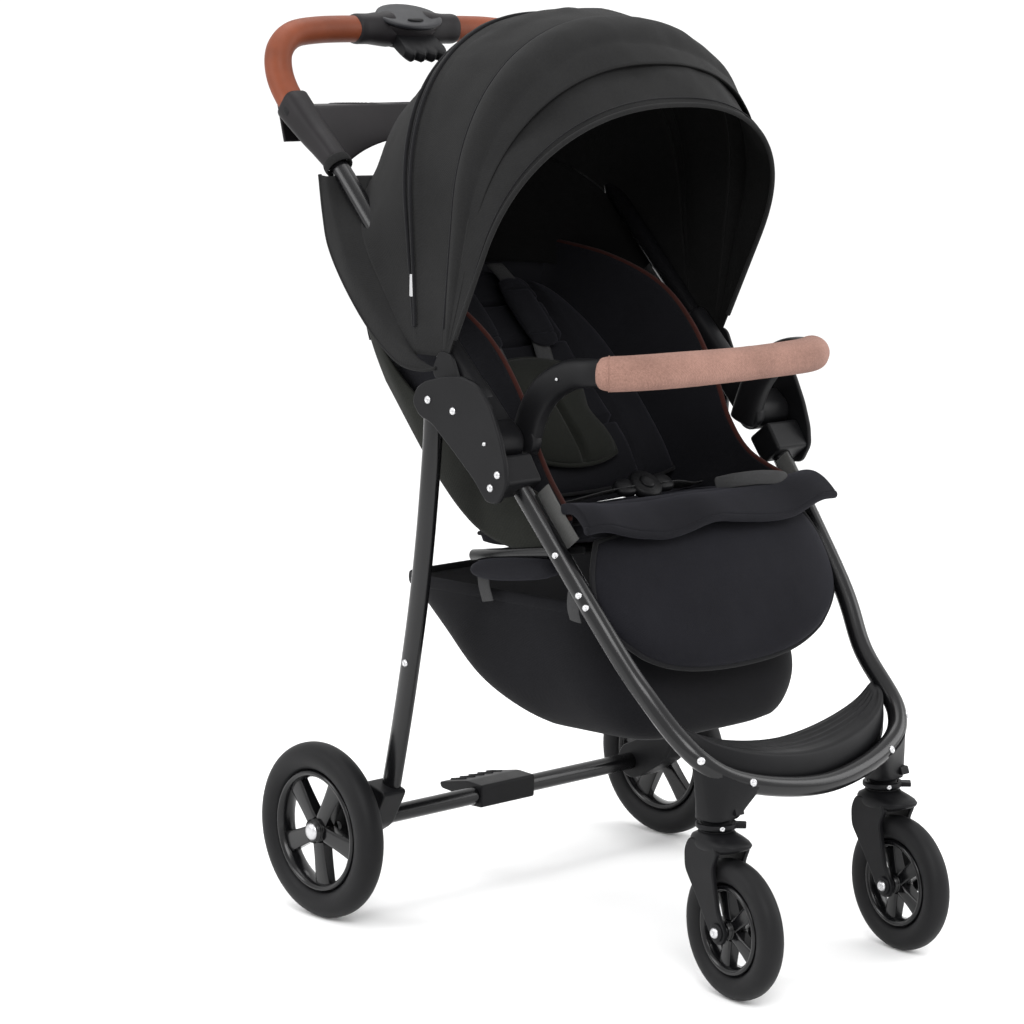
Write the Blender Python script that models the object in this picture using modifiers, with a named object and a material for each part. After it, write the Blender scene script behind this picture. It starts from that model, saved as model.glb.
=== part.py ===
"""Baby stroller: folding four-wheel frame with swivel castors, reclining seat,
folding canopy, bumper bar, calf rest, basket and a one-hand fold handle.
Metres, +Z up, the stroller faces -Y, wheels stand on Z = 0."""
import bpy
import bmesh
import math
from mathutils import Vector, Matrix

# ------------------------------------------------------------ driving sizes
ORIGIN_Y = 0.3044            # castor swivel line to the middle of the length
CASTOR_X = 0.138             # swivel axes left and right of the centre plane
CASTOR_TURN = -9.0           # degrees both castors are turned at rest
CASTOR_TRAIL = 0.035         # wheel centre in front of the swivel axis
FRONT_WHEEL_R = 0.079
FRONT_TYRE_R = 0.0145
REAR_WHEEL_X = 0.288
REAR_AXLE_Y, REAR_AXLE_Z = 0.515, 0.107
REAR_WHEEL_R = 0.107
REAR_TYRE_R = 0.017
TUBE_R = 0.0115              # front tube and handle tube
LEG_X = 0.236                # rear leg plane
LEG_R = 0.0085
FOLD_Y, FOLD_Z = 0.276, 0.594       # fold pivot
LEGP_Y, LEGP_Z = 0.364, 0.636       # rear leg pivot
CAN_Y, CAN_Z = 0.362, 0.668         # canopy pivot
CAN_X = 0.2235               # canopy side sheet, middle of its thickness
CAN_T = 0.004
HANDLE_X = 0.207
HANDLE_DIR = math.radians(45.6)
SOCKET_Y, SOCKET_Z = 0.241, 0.547   # top end of the front tube
HOUSE_Y, HOUSE_Z, HOUSE_A = 0.699, 1.058, math.radians(30.0)
BACK_Y, BACK_Z, BACK_A = 0.365, 0.470, math.radians(45.6)
CALF_Y, CALF_Z, CALF_A = 0.168, 0.494, math.radians(-112.9)
BUMP_Y, BUMP_Z = 0.248, 0.588
GAP = 0.0004                 # clearance between touching solids

# ------------------------------------------------------------ clean start
for o in list(bpy.data.objects):
    bpy.data.objects.remove(o, do_unlink=True)
PARTS = bpy.data.collections.new("baby_stroller")
bpy.context.scene.collection.children.link(PARTS)
CUTTERS = bpy.data.collections.new("cutters")
bpy.context.scene.collection.children.link(CUTTERS)


def material(name, colour, rough, metal=0.0):
    m = bpy.data.materials.new(name)
    m.use_nodes = True
    b = m.node_tree.nodes["Principled BSDF"]
    b.inputs["Base Color"].default_value = (*colour, 1.0)
    b.inputs["Roughness"].default_value = rough
    b.inputs["Metallic"].default_value = metal
    return m


COLOURS = {
    "tube": ((0.012, 0.012, 0.013), 0.28, 0.6),
    "plastic": ((0.022, 0.022, 0.024), 0.5, 0.0),
    "tray": ((0.05, 0.047, 0.05), 0.5, 0.0),
    "rubber": ((0.02, 0.02, 0.021), 0.6, 0.0),
    "rim": ((0.012, 0.012, 0.013), 0.3, 0.0),
    "steel": ((0.75, 0.75, 0.76), 0.25, 1.0),
    "leather": ((0.262, 0.065, 0.03), 0.5, 0.0),
    "canopy": ((0.028, 0.028, 0.028), 0.9, 0.0),
    "fabric": ((0.012, 0.012, 0.013), 0.9, 0.0),
    "insert": ((0.016, 0.018, 0.014), 0.9, 0.0),
    "tan": ((0.38, 0.21, 0.16), 0.9, 0.0),
}


def dress(ob, colour):
    c, r, m = COLOURS[colour]
    ob.data.materials.clear()
    ob.data.materials.append(material(ob.name + "_mat", c, r, m))
    return ob


def empty(name, loc, parent=None, turn=None):
    e = bpy.data.objects.new(name, None)
    e.empty_display_size = 0.03
    PARTS.objects.link(e)
    e.parent = parent
    e.location = loc
    if turn is not None:
        e.rotation_euler = turn
    return e


def put(ob, parent, colour, local=False):
    """Parents ob. Its coordinates are the stroller's unless local is true."""
    ob.parent = parent
    if not local:
        bpy.context.view_layer.update()
        ob.matrix_parent_inverse = (ROOT.matrix_world.inverted()
                                    @ parent.matrix_world).inverted()
    return dress(ob, colour)


def mesh_object(name, bm, col=PARTS, smooth=True):
    bm.normal_update()
    bmesh.ops.recalc_face_normals(bm, faces=bm.faces)
    if bm.calc_volume(signed=True) < 0 and not any(e.is_boundary for e in bm.edges):
        bmesh.ops.reverse_faces(bm, faces=bm.faces)
    me = bpy.data.meshes.new(name)
    bm.to_mesh(me)
    bm.free()
    if smooth:
        me.shade_smooth()
        me.set_sharp_from_angle(angle=math.radians(40))
    ob = bpy.data.objects.new(name, me)
    col.objects.link(ob)
    return ob


def smooth_path(points, n):
    """Catmull-Rom samples through the points, n per span."""
    p = [Vector(q) for q in points]
    p = [p[0] * 2 - p[1]] + p + [p[-1] * 2 - p[-2]]
    out = []
    for i in range(1, len(p) - 2):
        a, b, c, d = p[i - 1], p[i], p[i + 1], p[i + 2]
        for k in range(n):
            t = k / n
            out.append(0.5 * ((2 * b) + (c - a) * t + (2 * a - 5 * b + 4 * c - d) * t * t
                              + (3 * b - a - 3 * c + d) * t ** 3))
    out.append(p[-2])
    return out


def both_sides(half):
    """A path given from right end to centre, continued to the left."""
    return half + [(-x, y, z) for x, y, z in reversed(half[:-1])]


def tube(name, pts, r, res=2, caps=True, col=PARTS):
    cu = bpy.data.curves.new(name, "CURVE")
    cu.dimensions = "3D"
    cu.bevel_depth = r
    cu.bevel_resolution = res
    cu.use_fill_caps = caps
    s = cu.splines.new("POLY")
    s.points.add(len(pts) - 1)
    for q, v in zip(s.points, pts):
        q.co = (v[0], v[1], v[2], 1.0)
    ob = bpy.data.objects.new(name, cu)
    col.objects.link(ob)
    return ob


def to_mesh(ob):
    bpy.context.view_layer.update()
    dg = bpy.context.evaluated_depsgraph_get()
    me = bpy.data.meshes.new_from_object(ob.evaluated_get(dg))
    me.transform(ob.matrix_world)
    bm = bmesh.new()
    bm.from_mesh(me)
    bmesh.ops.remove_doubles(bm, verts=bm.verts, dist=0.00002)
    bmesh.ops.recalc_face_normals(bm, faces=bm.faces)
    bm.to_mesh(me)
    bm.free()
    name = ob.name
    cols = list(ob.users_collection)
    bpy.data.objects.remove(ob, do_unlink=True)
    new = bpy.data.objects.new(name, me)
    for c in cols:
        c.objects.link(new)
    return new


def sleeve(name, pts, r_out, r_in, res=2):
    """A hollow tube: an open tube surface thickened inwards."""
    ob = to_mesh(tube(name, pts, r_out, res, caps=False))
    m = ob.modifiers.new("wall", "SOLIDIFY")
    m.thickness = r_out - r_in
    m.offset = -1.0
    return ob


def plate(name, outline, x0, x1, col=PARTS, frame=None):
    """A flat outline in the side plane, from x0 to x1 across the stroller."""
    cu = bpy.data.curves.new(name, "CURVE")
    cu.dimensions = "2D"
    cu.fill_mode = "BOTH"
    cu.extrude = abs(x1 - x0) / 2
    s = cu.splines.new("POLY")
    s.points.add(len(outline) - 1)
    for q, v in zip(s.points, outline):
        q.co = (v[0], v[1], 0.0, 1.0)
    s.use_cyclic_u = True
    ob = bpy.data.objects.new(name, cu)
    col.objects.link(ob)
    side = Matrix(((0, 0, 1, (x0 + x1) / 2), (1, 0, 0, 0), (0, 1, 0, 0), (0, 0, 0, 1)))
    ob.matrix_world = (frame @ side) if frame is not None else side
    return to_mesh(ob)


def box(name, lo, hi, col=PARTS, taper=None, cuts=0):
    bm = bmesh.new()
    bmesh.ops.create_cube(bm, size=1.0)
    for v in bm.verts:
        v.co = Vector([lo[i] + (v.co[i] + 0.5) * (hi[i] - lo[i]) for i in range(3)])
    if cuts:
        bmesh.ops.subdivide_edges(bm, edges=bm.edges, cuts=cuts, use_grid_fill=True)
    if taper:
        for v in bm.verts:
            v.co = taper(v.co)
    return mesh_object(name, bm, col)


def rod(name, a, b, r, sides=12, col=PARTS, r2=None):
    a, b = Vector(a), Vector(b)
    bm = bmesh.new()
    bmesh.ops.create_cone(bm, cap_ends=True, segments=sides, radius1=r,
                          radius2=r if r2 is None else r2, depth=(b - a).length)
    q = (b - a).to_track_quat("Z", "Y").to_matrix().to_4x4()
    bm.transform(Matrix.Translation((a + b) / 2) @ q)
    return mesh_object(name, bm, col)


def combine(ob, others, op):
    for k, o in enumerate(others):
        o.hide_render = True
        o.display_type = "WIRE"
        m = ob.modifiers.new(op.lower() + str(k), "BOOLEAN")
        m.operation = op
        m.object = o
        m.solver = "EXACT"
    bpy.context.view_layer.update()
    dg = bpy.context.evaluated_depsgraph_get()
    me = bpy.data.meshes.new_from_object(ob.evaluated_get(dg))
    ob.modifiers.clear()
    ob.data = me
    for o in others:
        bpy.data.objects.remove(o, do_unlink=True)
    bm = bmesh.new()
    bm.from_mesh(me)
    bmesh.ops.remove_doubles(bm, verts=bm.verts, dist=0.000005)
    bmesh.ops.dissolve_degenerate(bm, edges=bm.edges, dist=0.000005)
    bm.to_mesh(me)
    bm.free()
    return ob


def turned(name, profile, steps, matrix):
    me = bpy.data.meshes.new(name)
    n = len(profile)
    me.from_pydata([(r, 0.0, z) for r, z in profile],
                   [(i, (i + 1) % n) for i in range(n)], [])
    ob = bpy.data.objects.new(name, me)
    PARTS.objects.link(ob)
    m = ob.modifiers.new("turn", "SCREW")
    m.axis = "Z"
    m.steps = m.render_steps = steps
    m.use_merge_vertices = True
    m.merge_threshold = 0.00005
    m.use_smooth_shade = True
    ob.matrix_local = matrix
    return ob


TO_X = Matrix.Rotation(math.radians(90), 4, "Y")


def tyre(name, radius, section, steps, at, parent):
    prof = []
    for k in range(8):
        a = -2 * math.pi * (k + 0.5) / 8
        prof.append((radius - section + section * math.cos(a), section * math.sin(a)))
    top = max(p[0] for p in prof)
    prof = [(p[0] + radius - top, p[1]) for p in prof]
    ob = turned(name, prof, steps, Matrix.Translation(at) @ TO_X)
    return put(ob, parent, "rubber", local=True)


def rim(name, r, hw, hub, bore, steps, at, parent):
    w = hw * 0.82
    prof = [(r, w), (r, -w), (r - 0.006, -w), (r - 0.009, -0.004), (hub + 0.003, -0.004),
            (hub, -hw), (bore, -hw), (bore, hw), (hub, hw), (hub + 0.003, 0.004),
            (r - 0.009, 0.004), (r - 0.006, w)]
    ob = turned(name, prof, steps, Matrix.Translation(at) @ TO_X)
    return put(ob, parent, "rim", local=True)


SIDES = (("left", 1.0), ("right", -1.0))      # the child's left is at +X
ROOT = empty("stroller", (0, 0, 0))

# ------------------------------------------------------------ front frame
tube_half = [(0.213, SOCKET_Y, SOCKET_Z), (0.198, 0.125, 0.404), (0.181, 0.072, 0.332),
             (0.166, 0.005, 0.270), (0.112, -0.0225, 0.237), (0.0, -0.035, 0.220)]
tube_path = smooth_path(both_sides(tube_half), 3)
put(tube("front_tube", tube_path, TUBE_R), ROOT, "tube")


def tube_at(x):
    """Centre of the front tube's lower bow at this x."""
    low = [p for p in tube_path if p.z < 0.3]
    for a, b in zip(low, low[1:]):
        if min(a.x, b.x) <= x <= max(a.x, b.x) and a.x != b.x:
            t = (x - a.x) / (b.x - a.x)
            return a.y + t * (b.y - a.y), a.z + t * (b.z - a.z)
    return low[-1].y, low[-1].z


def loft(name, rings):
    bm = bmesh.new()
    vs = [[bm.verts.new(p) for p in r] for r in rings]
    n = len(rings[0])
    for a, b in zip(vs, vs[1:]):
        for i in range(n):
            j = (i + 1) % n
            bm.faces.new((a[i], a[j], b[j], b[i]))
    bm.faces.new(vs[0])
    bm.faces.new(list(reversed(vs[-1])))
    return mesh_object(name, bm)


rings = []
for i in range(15):
    x = -0.150 + 0.300 * i / 14
    yt, zt = tube_at(x)
    u = abs(x) / 0.150
    yf = yt + 0.0140 + 0.014 * u ** 4
    yr = 0.036 + 0.014 * u * u
    rings.append([(x, yf, zt + 0.0015), (x, yf, zt + 0.030), (x, yf + 0.004, zt + 0.034),
                  (x, yr, zt + 0.038), (x, yr, zt + 0.032), (x, yf + 0.005, zt + 0.027),
                  (x, yf + 0.004, zt + 0.0015)])
put(loft("foot_tray", rings), ROOT, "plastic")

for side, s in SIDES:
    ya, za = tube_at(s * 0.102)
    yb, zb = tube_at(s * 0.160)

    def shape(co, s=s, ya=ya, za=za, yb=yb, zb=zb):
        out = co.x > 0.5
        if co.z < 0.5:
            return Vector((s * (CASTOR_X + (0.020 if out else -0.020)),
                           -0.019 + 0.038 * co.y, 0.1980))
        if out:
            return Vector((s * 0.160, yb - 0.017 + 0.034 * co.y, zb - 0.005))
        return Vector((s * 0.102, ya - 0.015 + 0.030 * co.y, za - 0.005))

    ob = box("castor_socket_" + side, (0, 0, 0), (1, 1, 1), taper=shape)
    cut = to_mesh(tube("socket_cut", tube_path, TUBE_R + 0.0012, col=CUTTERS))
    put(combine(ob, [cut], "DIFFERENCE"), ROOT, "plastic")

# hinge housings of the front frame: socket for the tube and outer side plate
T = Vector((SOCKET_Y, SOCKET_Z))
H = Vector((FOLD_Y, FOLD_Z))
d = (H - T).normalized()
nr = Vector((d.y, -d.x))
e = (H - T).length - 0.0262


def yz(p):
    return (p.x, p.y)


block = [yz(T + d * 0.0018 - nr * 0.019), yz(T + d * 0.0018 + nr * 0.019),
         yz(T + d * e + nr * 0.019), yz(T + d * e - nr * 0.019)]
side_plate = [yz(T - nr * 0.0185 + d * 0.002), yz(T + nr * 0.0185 + d * 0.002),
              yz(H + nr * 0.024 - d * 0.006), (0.352, 0.614), (0.374, 0.619), (0.385, 0.634),
              (0.378, 0.650), (0.364, 0.657), (0.318, 0.645),
              yz(H + d * 0.027 - nr * 0.004), yz(H - nr * 0.022)]
for side, s in SIDES:
    xa, xb = sorted((s * 0.1935, s * 0.2492))
    ob = plate("lower_hinge_" + side, block, xa, xb)
    xa, xb = sorted((s * 0.2450, s * 0.2497))
    o2 = plate("hinge_add", side_plate, xa, xb, col=CUTTERS)
    put(combine(ob, [o2], "UNION"), ROOT, "plastic")

for side, s in SIDES:
    put(tube("seat_rail_" + side, [(s * 0.186, 0.348, 0.452), (s * 0.186, 0.278, 0.463),
                                   (s * 0.186, 0.200, 0.475)], 0.007), ROOT, "tube")

SEAT = Matrix.Translation((0, 0.172, 0.474)) @ Matrix.Rotation(math.radians(-9.0), 4, "X")


def in_frame(m):
    return lambda co: m @ co


put(box("seat_base", (-0.165, 0.013, 0.0), (0.165, 0.176, 0.010), taper=in_frame(SEAT)),
    ROOT, "plastic")


def cushion(m, crown=0.0):
    return lambda co: m @ co


put(box("seat_cushion", (-0.168, 0.013, 0.0104), (0.168, 0.172, 0.040), taper=in_frame(SEAT)),
    ROOT, "fabric")


# basket: an open-topped bag
def basket_shape(co):
    x, y, z = co
    yy = (0.110 + 0.220 * y) * (1 - z) + (0.160 + 0.368 * y) * z
    w = (0.158 + 0.022 * y) * (1 - z) + (0.168 + 0.020 * y) * z
    zz = 0.249 * (1 - z) + (0.400 + 0.006 * y) * z - 0.006 * math.sin(math.pi * y) * (1 - z)
    return Vector((w * (2 * x - 1), yy, zz))


bm = bmesh.new()
bmesh.ops.create_cube(bm, size=1.0)
bmesh.ops.translate(bm, verts=bm.verts, vec=(0.5, 0.5, 0.5))
top = [f for f in bm.faces if f.normal.z > 0.9]
bmesh.ops.delete(bm, geom=top, context="FACES_ONLY")
bmesh.ops.subdivide_edges(bm, edges=bm.edges, cuts=2, use_grid_fill=True)
for v in bm.verts:
    v.co = basket_shape(v.co)
ob = mesh_object("basket", bm)
m = ob.modifiers.new("wall", "SOLIDIFY")
m.thickness = 0.004
m.offset = -1.0
put(ob, ROOT, "fabric")

# harness buckle with its push button
BUCKLE = Matrix.Translation((0, 0.262, 0.521)) @ Matrix.Rotation(math.radians(38), 4, "X")
ob = rod("buckle", BUCKLE @ Vector((0, 0, 0)), BUCKLE @ Vector((0, 0, 0.012)), 0.022, 20)
cut = rod("cut", BUCKLE @ Vector((0, 0, 0.006)), BUCKLE @ Vector((0, 0, 0.03)), 0.0118, 16, CUTTERS)
put(combine(ob, [cut], "DIFFERENCE"), ROOT, "plastic")
e_btn = empty("buckle_button_axis", BUCKLE @ Vector((0, 0, 0.009)), ROOT)
put(rod("buckle_button", BUCKLE @ Vector((0, 0, 0.0095)), BUCKLE @ Vector((0, 0, 0.0145)),
        0.0108, 16), e_btn, "steel")

# ------------------------------------------------------------ castors
arm = [(-0.035 - 0.011, 0.079), (-0.035, 0.067), (-0.035 + 0.011, 0.079), (0.004, 0.118),
       (0.028, 0.146), (0.030, 0.166), (0.020, 0.176), (-0.026, 0.176), (-0.030, 0.164),
       (-0.020, 0.142)]
for side, s in SIDES:
    E = empty("castor_axis_" + side, (s * CASTOR_X, 0, 0), ROOT,
              (0, 0, math.radians(CASTOR_TURN)))
    hub = (0.0, -CASTOR_TRAIL, FRONT_WHEEL_R)
    crown = [(-0.030, 0.1655), (0.030, 0.1655), (0.030, 0.176), (0.022, 0.1846),
             (-0.030, 0.1846), (-0.044, 0.176), (-0.044, 0.172)]
    ob = plate("castor_fork_" + side, crown, -0.0236, 0.0236)
    arms = [plate("arm", arm, -0.0234, -0.0175, CUTTERS), plate("arm2", arm, 0.0175, 0.0234, CUTTERS)]
    ob = combine(ob, arms, "UNION")
    cut = rod("cut", (-0.04, hub[1], hub[2]), (0.04, hub[1], hub[2]), 0.0047, 12, CUTTERS)
    put(combine(ob, [cut], "DIFFERENCE"), E, "plastic", local=True)
    put(rod("castor_collar_" + side, (0, 0, 0.1850), (0, 0, 0.1975), 0.0165, 20), E, "plastic",
        local=True)
    put(rod("front_axle_" + side, (-0.0305, hub[1], hub[2]), (0.0275, hub[1], hub[2]), 0.0042, 12),
        E, "steel", local=True)
    L = empty("castor_lock_axis_" + side, (0, -0.024, 0.190), E)
    ob = box("castor_lock_" + side, (-0.009, -0.010, -0.0045), (0.009, 0.0065, 0.0020))
    put(ob, L, "plastic", local=True)
    W = empty("front_wheel_axis_" + side, hub, E)
    tyre("front_tyre_" + side, FRONT_WHEEL_R, FRONT_TYRE_R, 28, (0, 0, 0), W)
    rim("front_rim_" + side, FRONT_WHEEL_R - 2 * FRONT_TYRE_R - 0.0010, 0.0142, 0.012, 0.0047,
        20, (0, 0, 0), W)

# ------------------------------------------------------------ rear frame
REAR = empty("rear_frame_axis", (0, LEGP_Y, LEGP_Z), ROOT)
SY = 1.6
leg_pts = [(0.3635, 0.650), (0.366, 0.600), (0.370, 0.560), (0.380, 0.480), (0.393, 0.400),
           (0.407, 0.330), (0.425, 0.250), (0.4455, 0.1712)]
bracket = [(0.430, 0.1600), (0.466, 0.1693), (0.500, 0.135), (0.530, 0.124), (0.540, 0.107),
           (0.530, 0.090), (0.515, 0.084), (0.498, 0.090), (0.455, 0.115)]
for side, s in SIDES:
    ob = tube("rear_leg_" + side, [(s * LEG_X, y / SY, z) for y, z in leg_pts], LEG_R)
    ob.scale = (1, SY, 1)
    put(to_mesh(ob), REAR, "tube")
    xa, xb = sorted((s * 0.228, s * 0.262))
    ob = plate("axle_bracket_" + side, bracket, xa, xb)
    cut = rod("cut", (s * 0.2, REAR_AXLE_Y, REAR_AXLE_Z), (s * 0.3, REAR_AXLE_Y, REAR_AXLE_Z),
              0.0062, 12, CUTTERS)
    put(combine(ob, [cut], "DIFFERENCE"), REAR, "plastic")
    W = empty("rear_wheel_axis_" + side, (s * REAR_WHEEL_X, REAR_AXLE_Y, REAR_AXLE_Z), ROOT)
    tyre("rear_tyre_" + side, REAR_WHEEL_R, REAR_TYRE_R, 32, (0, 0, 0), W)
    rim("rear_rim_" + side, REAR_WHEEL_R - 2 * REAR_TYRE_R - 0.0012, 0.0150, 0.016, 0.0062,
        22, (0, 0, 0), W)
put(rod("rear_axle", (-0.3065, REAR_AXLE_Y, REAR_AXLE_Z), (0.3065, REAR_AXLE_Y, REAR_AXLE_Z),
        0.0055, 12), REAR, "steel")
put(sleeve("rear_axle_tube", [(x, REAR_AXLE_Y, REAR_AXLE_Z) for x in (-0.2276, 0.0, 0.2276)],
           0.011, 0.0064), REAR, "tube")
PED = empty("brake_pedal_axis", (0, REAR_AXLE_Y, REAR_AXLE_Z), REAR)
PED.parent = ROOT
ay, az = REAR_AXLE_Y, REAR_AXLE_Z
pedal = [(ay - 0.016, az - 0.015), (ay + 0.016, az - 0.015), (ay + 0.020, az - 0.006),
         (ay + 0.066, az - 0.002), (ay + 0.068, az + 0.006), (ay + 0.016, az + 0.016),
         (ay - 0.016, az + 0.016)]
ob = plate("brake_pedal", pedal, -0.045, 0.045)
cut = rod("cut", (-0.1, ay, az), (0.1, ay, az), 0.0119, 16, CUTTERS)
put(combine(ob, [cut], "DIFFERENCE"), PED, "plastic")

# ------------------------------------------------------------ upper frame
UP = empty("upper_frame_axis", (0, FOLD_Y, FOLD_Z), ROOT)
u = Vector((math.cos(HANDLE_DIR), math.sin(HANDLE_DIR)))
n2 = Vector((u.y, -u.x))
h0 = H + u * 0.1506
handle_half = [(HANDLE_X, h0.x, h0.y), (HANDLE_X, 0.480, 0.802), (HANDLE_X, 0.574, 0.898),
               (HANDLE_X, 0.622, 0.936), (0.2075, 0.660, 0.968), (0.209, 0.682, 1.000),
               (0.203, 0.692, 1.030), (0.180, 0.697, 1.050), (0.140, 0.6985, 1.0565),
               (0.076, 0.699, 1.058), (0.0, 0.699, 1.058)]
handle_path = smooth_path(both_sides(handle_half), 2)
put(tube("handle_tube", handle_path, TUBE_R), UP, "tube")
for side, s in SIDES:
    seg = handle_path if s > 0 else list(reversed(handle_path))
    put(sleeve("handle_grip_" + side, seg[8:19], 0.0168, 0.0121), UP, "leather")

HOUSE = Matrix.Translation((0, HOUSE_Y, HOUSE_Z)) @ Matrix.Rotation(HOUSE_A, 4, "X")
for name, lo, hi in (("housing_top", 0.0003, 0.0185), ("housing_bottom", -0.0185, -0.0003)):
    t = 1 if lo > 0 else -1
    prof = [(-0.018, 0.0003 * t), (0.021, 0.0003 * t), (0.020, 0.012 * t), (0.012, 0.0185 * t),
            (-0.012, 0.0185 * t), (-0.018, 0.012 * t)]
    if t < 0:
        prof.reverse()
    ob = plate(name, prof, -0.0752, 0.0752, frame=HOUSE)
    cut = to_mesh(tube("cut", handle_path, TUBE_R + 0.0006, col=CUTTERS))
    put(combine(ob, [cut], "DIFFERENCE"), UP, "plastic")
TRG = empty("fold_trigger_axis", HOUSE @ Vector((0, -0.04, 0)), ROOT)
trg = [(-0.060, -0.014), (-0.0252, -0.016), (-0.0252, 0.006), (-0.058, 0.000)]
put(plate("fold_trigger", trg, -0.032, 0.032, frame=HOUSE), TRG, "plastic")

# full-width knuckle close to the pivot, then a block that stays inboard of the rear leg
knuckle = [yz(H + u * 0.020 + n2 * 0.019), yz(H + u * 0.020 - n2 * 0.019)]
for k in range(7):
    a = math.radians(90 + 30 * k)
    knuckle.append(yz(H + u * (0.0215 * math.cos(a)) - n2 * (0.0215 * math.sin(a))))
thick = [yz(H + u * 0.004 + n2 * 0.0186), yz(H + u * 0.072 + n2 * 0.0186),
         yz(H + u * 0.072 - n2 * 0.0186), yz(H + u * 0.004 - n2 * 0.0186)]
thin = [yz(H + u * 0.060 + n2 * 0.0165), yz(H + u * 0.150 + n2 * 0.0165),
        yz(H + u * 0.150 - n2 * 0.0165), yz(H + u * 0.060 - n2 * 0.0165)]
for side, s in SIDES:
    xa, xb = sorted((s * 0.1935, s * 0.2445))
    ob = plate("upper_hinge_" + side, knuckle, xa, xb)
    xa, xb = sorted((s * 0.1937, s * 0.2262))
    o1 = plate("add", thick, xa, xb, CUTTERS)
    xa, xb = sorted((s * 0.1940, s * 0.2205))
    o2 = plate("add", thin, xa, xb, CUTTERS)
    put(combine(ob, [o1, o2], "UNION"), UP, "plastic")

# console with two cup wells between the handle tubes
con = [(0.602, 0.912), (0.690, 0.920), (0.702, 0.966), (0.640, 0.966)]
ob = plate("parent_tray", con, -0.1898, 0.1898)
cuts = [rod("cut", (sx * 0.105, 0.667, 0.934), (sx * 0.105, 0.667, 1.0), 0.027, 16, CUTTERS,
            r2=0.030) for sx in (-1, 1)]
cuts.append(box("cut", (-0.050, 0.645, 0.934), (0.050, 0.686, 1.0), CUTTERS))
put(combine(ob, cuts, "DIFFERENCE"), UP, "tray")

# ------------------------------------------------------------ canopy
CAN_R = [(46.0, 0.330), (57.0, 0.405), (67.5, 0.442), (82.0, 0.430), (97.0, 0.402),
         (106.0, 0.378), (116.0, 0.340)]
CAN_N = 2.3
CAN_S = 0.45
CAN_Q = 0.30


def can_radius(deg):
    for (a, ra), (b, rb) in zip(CAN_R, CAN_R[1:]):
        if a <= deg <= b:
            t = (deg - a) / (b - a)
            return ra + (rb - ra) * t
    return CAN_R[-1][1]


def can_point(deg, t, inset=0.0):
    """deg is the bow's angle about the pivot, t runs 0 to 1 from side to side."""
    R = can_radius(deg) - inset
    side = R * CAN_S                  # straight part of each side
    q = 2 * min(t, 1 - t)             # 0 at the pivot, 1 at the crown
    if q < CAN_Q:
        x, r = CAN_X - inset, 0.040 + (side - 0.040) * q / CAN_Q
    else:
        th = (q - CAN_Q) / (1 - CAN_Q) * math.pi / 2
        x = math.cos(th) ** (2 / CAN_N) * (CAN_X - inset) if q < 1 else 0.0
        r = side + (R - side) * math.sin(th) ** (2 / CAN_N)
    x = x if t < 0.5 else -x
    a = math.radians(deg)
    return Vector((x, CAN_Y + r * math.cos(a), CAN_Z + r * math.sin(a)))


def canopy_panel(name, a0, a1, nu, parent, nt=14):
    bm = bmesh.new()
    bmesh.ops.create_grid(bm, x_segments=nu, y_segments=nt, size=0.5)
    for v in bm.verts:
        v.co = can_point(a0 + (a1 - a0) * (v.co.x + 0.5), v.co.y + 0.5)
    me = bpy.data.meshes.new(name)
    bm.to_mesh(me)
    bm.free()
    me.shade_smooth()
    ob = bpy.data.objects.new(name, me)
    PARTS.objects.link(ob)
    mod = ob.modifiers.new("cloth", "SOLIDIFY")
    mod.thickness = CAN_T
    mod.offset = 0.0
    return put(ob, parent, "canopy")


CM = empty("canopy_mid_axis", (0, CAN_Y, CAN_Z), ROOT)
CF = empty("canopy_front_axis", (0, CAN_Y, CAN_Z), ROOT)
canopy_panel("canopy_rear_panel", 52.8, 65.4, 2, UP)
canopy_panel("canopy_mid_panel", 69.6, 95.8, 3, CM)
canopy_panel("canopy_front_panel", 97.0, 115.5, 2, CF)
bow = [can_point(67.5, (k + 0.5) / 18) for k in range(18)]
put(tube("canopy_bow", bow, 0.0019, 0), CM, "tube")

# ------------------------------------------------------------ backrest
BK = empty("backrest_axis", (0, BACK_Y, BACK_Z), ROOT)
BACK = Matrix.Translation((0, BACK_Y, BACK_Z)) @ Matrix.Rotation(BACK_A, 4, "X")


def back_shape(top_w):
    def f(co):
        t = max(0.0, (co.y - 0.20) / 0.185)
        drop = 0.034 * (co.x / 0.165) ** 2 * t
        return BACK @ Vector((co.x * (1 - (1 - top_w) * t * t), co.y - drop, co.z))
    return f


put(box("backrest_board", (-0.162, 0.020, 0.004), (0.162, 0.377, 0.014), taper=back_shape(0.80),
        cuts=2), BK, "fabric")
put(box("backrest_pad", (-0.165, 0.030, 0.0144), (0.165, 0.375, 0.044), taper=back_shape(0.80),
        cuts=2), BK, "fabric")
put(box("seat_insert", (-0.066, 0.060, 0.0446), (0.066, 0.210, 0.066), taper=in_frame(BACK)),
    BK, "insert")
for side, s in SIDES:
    xa, xb = sorted((s * 0.035, s * 0.072))
    put(box("shoulder_strap_" + side, (xa, 0.214, 0.0446), (xb, 0.350, 0.0520),
            taper=in_frame(BACK)), BK, "fabric")

# ------------------------------------------------------------ calf rest
CE = empty("calf_rest_axis", (0, CALF_Y, CALF_Z), ROOT)
CALF = Matrix.Translation((0, CALF_Y, CALF_Z)) @ Matrix.Rotation(CALF_A, 4, "X")


def calf_shape(co):
    t = co.y / 0.155
    return CALF @ Vector((co.x * (1.0 - 0.10 * t * t), co.y, co.z))


put(box("calf_rest", (-0.174, 0.006, -0.015), (0.174, 0.150, 0.011), taper=calf_shape, cuts=2),
    CE, "fabric")

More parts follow.
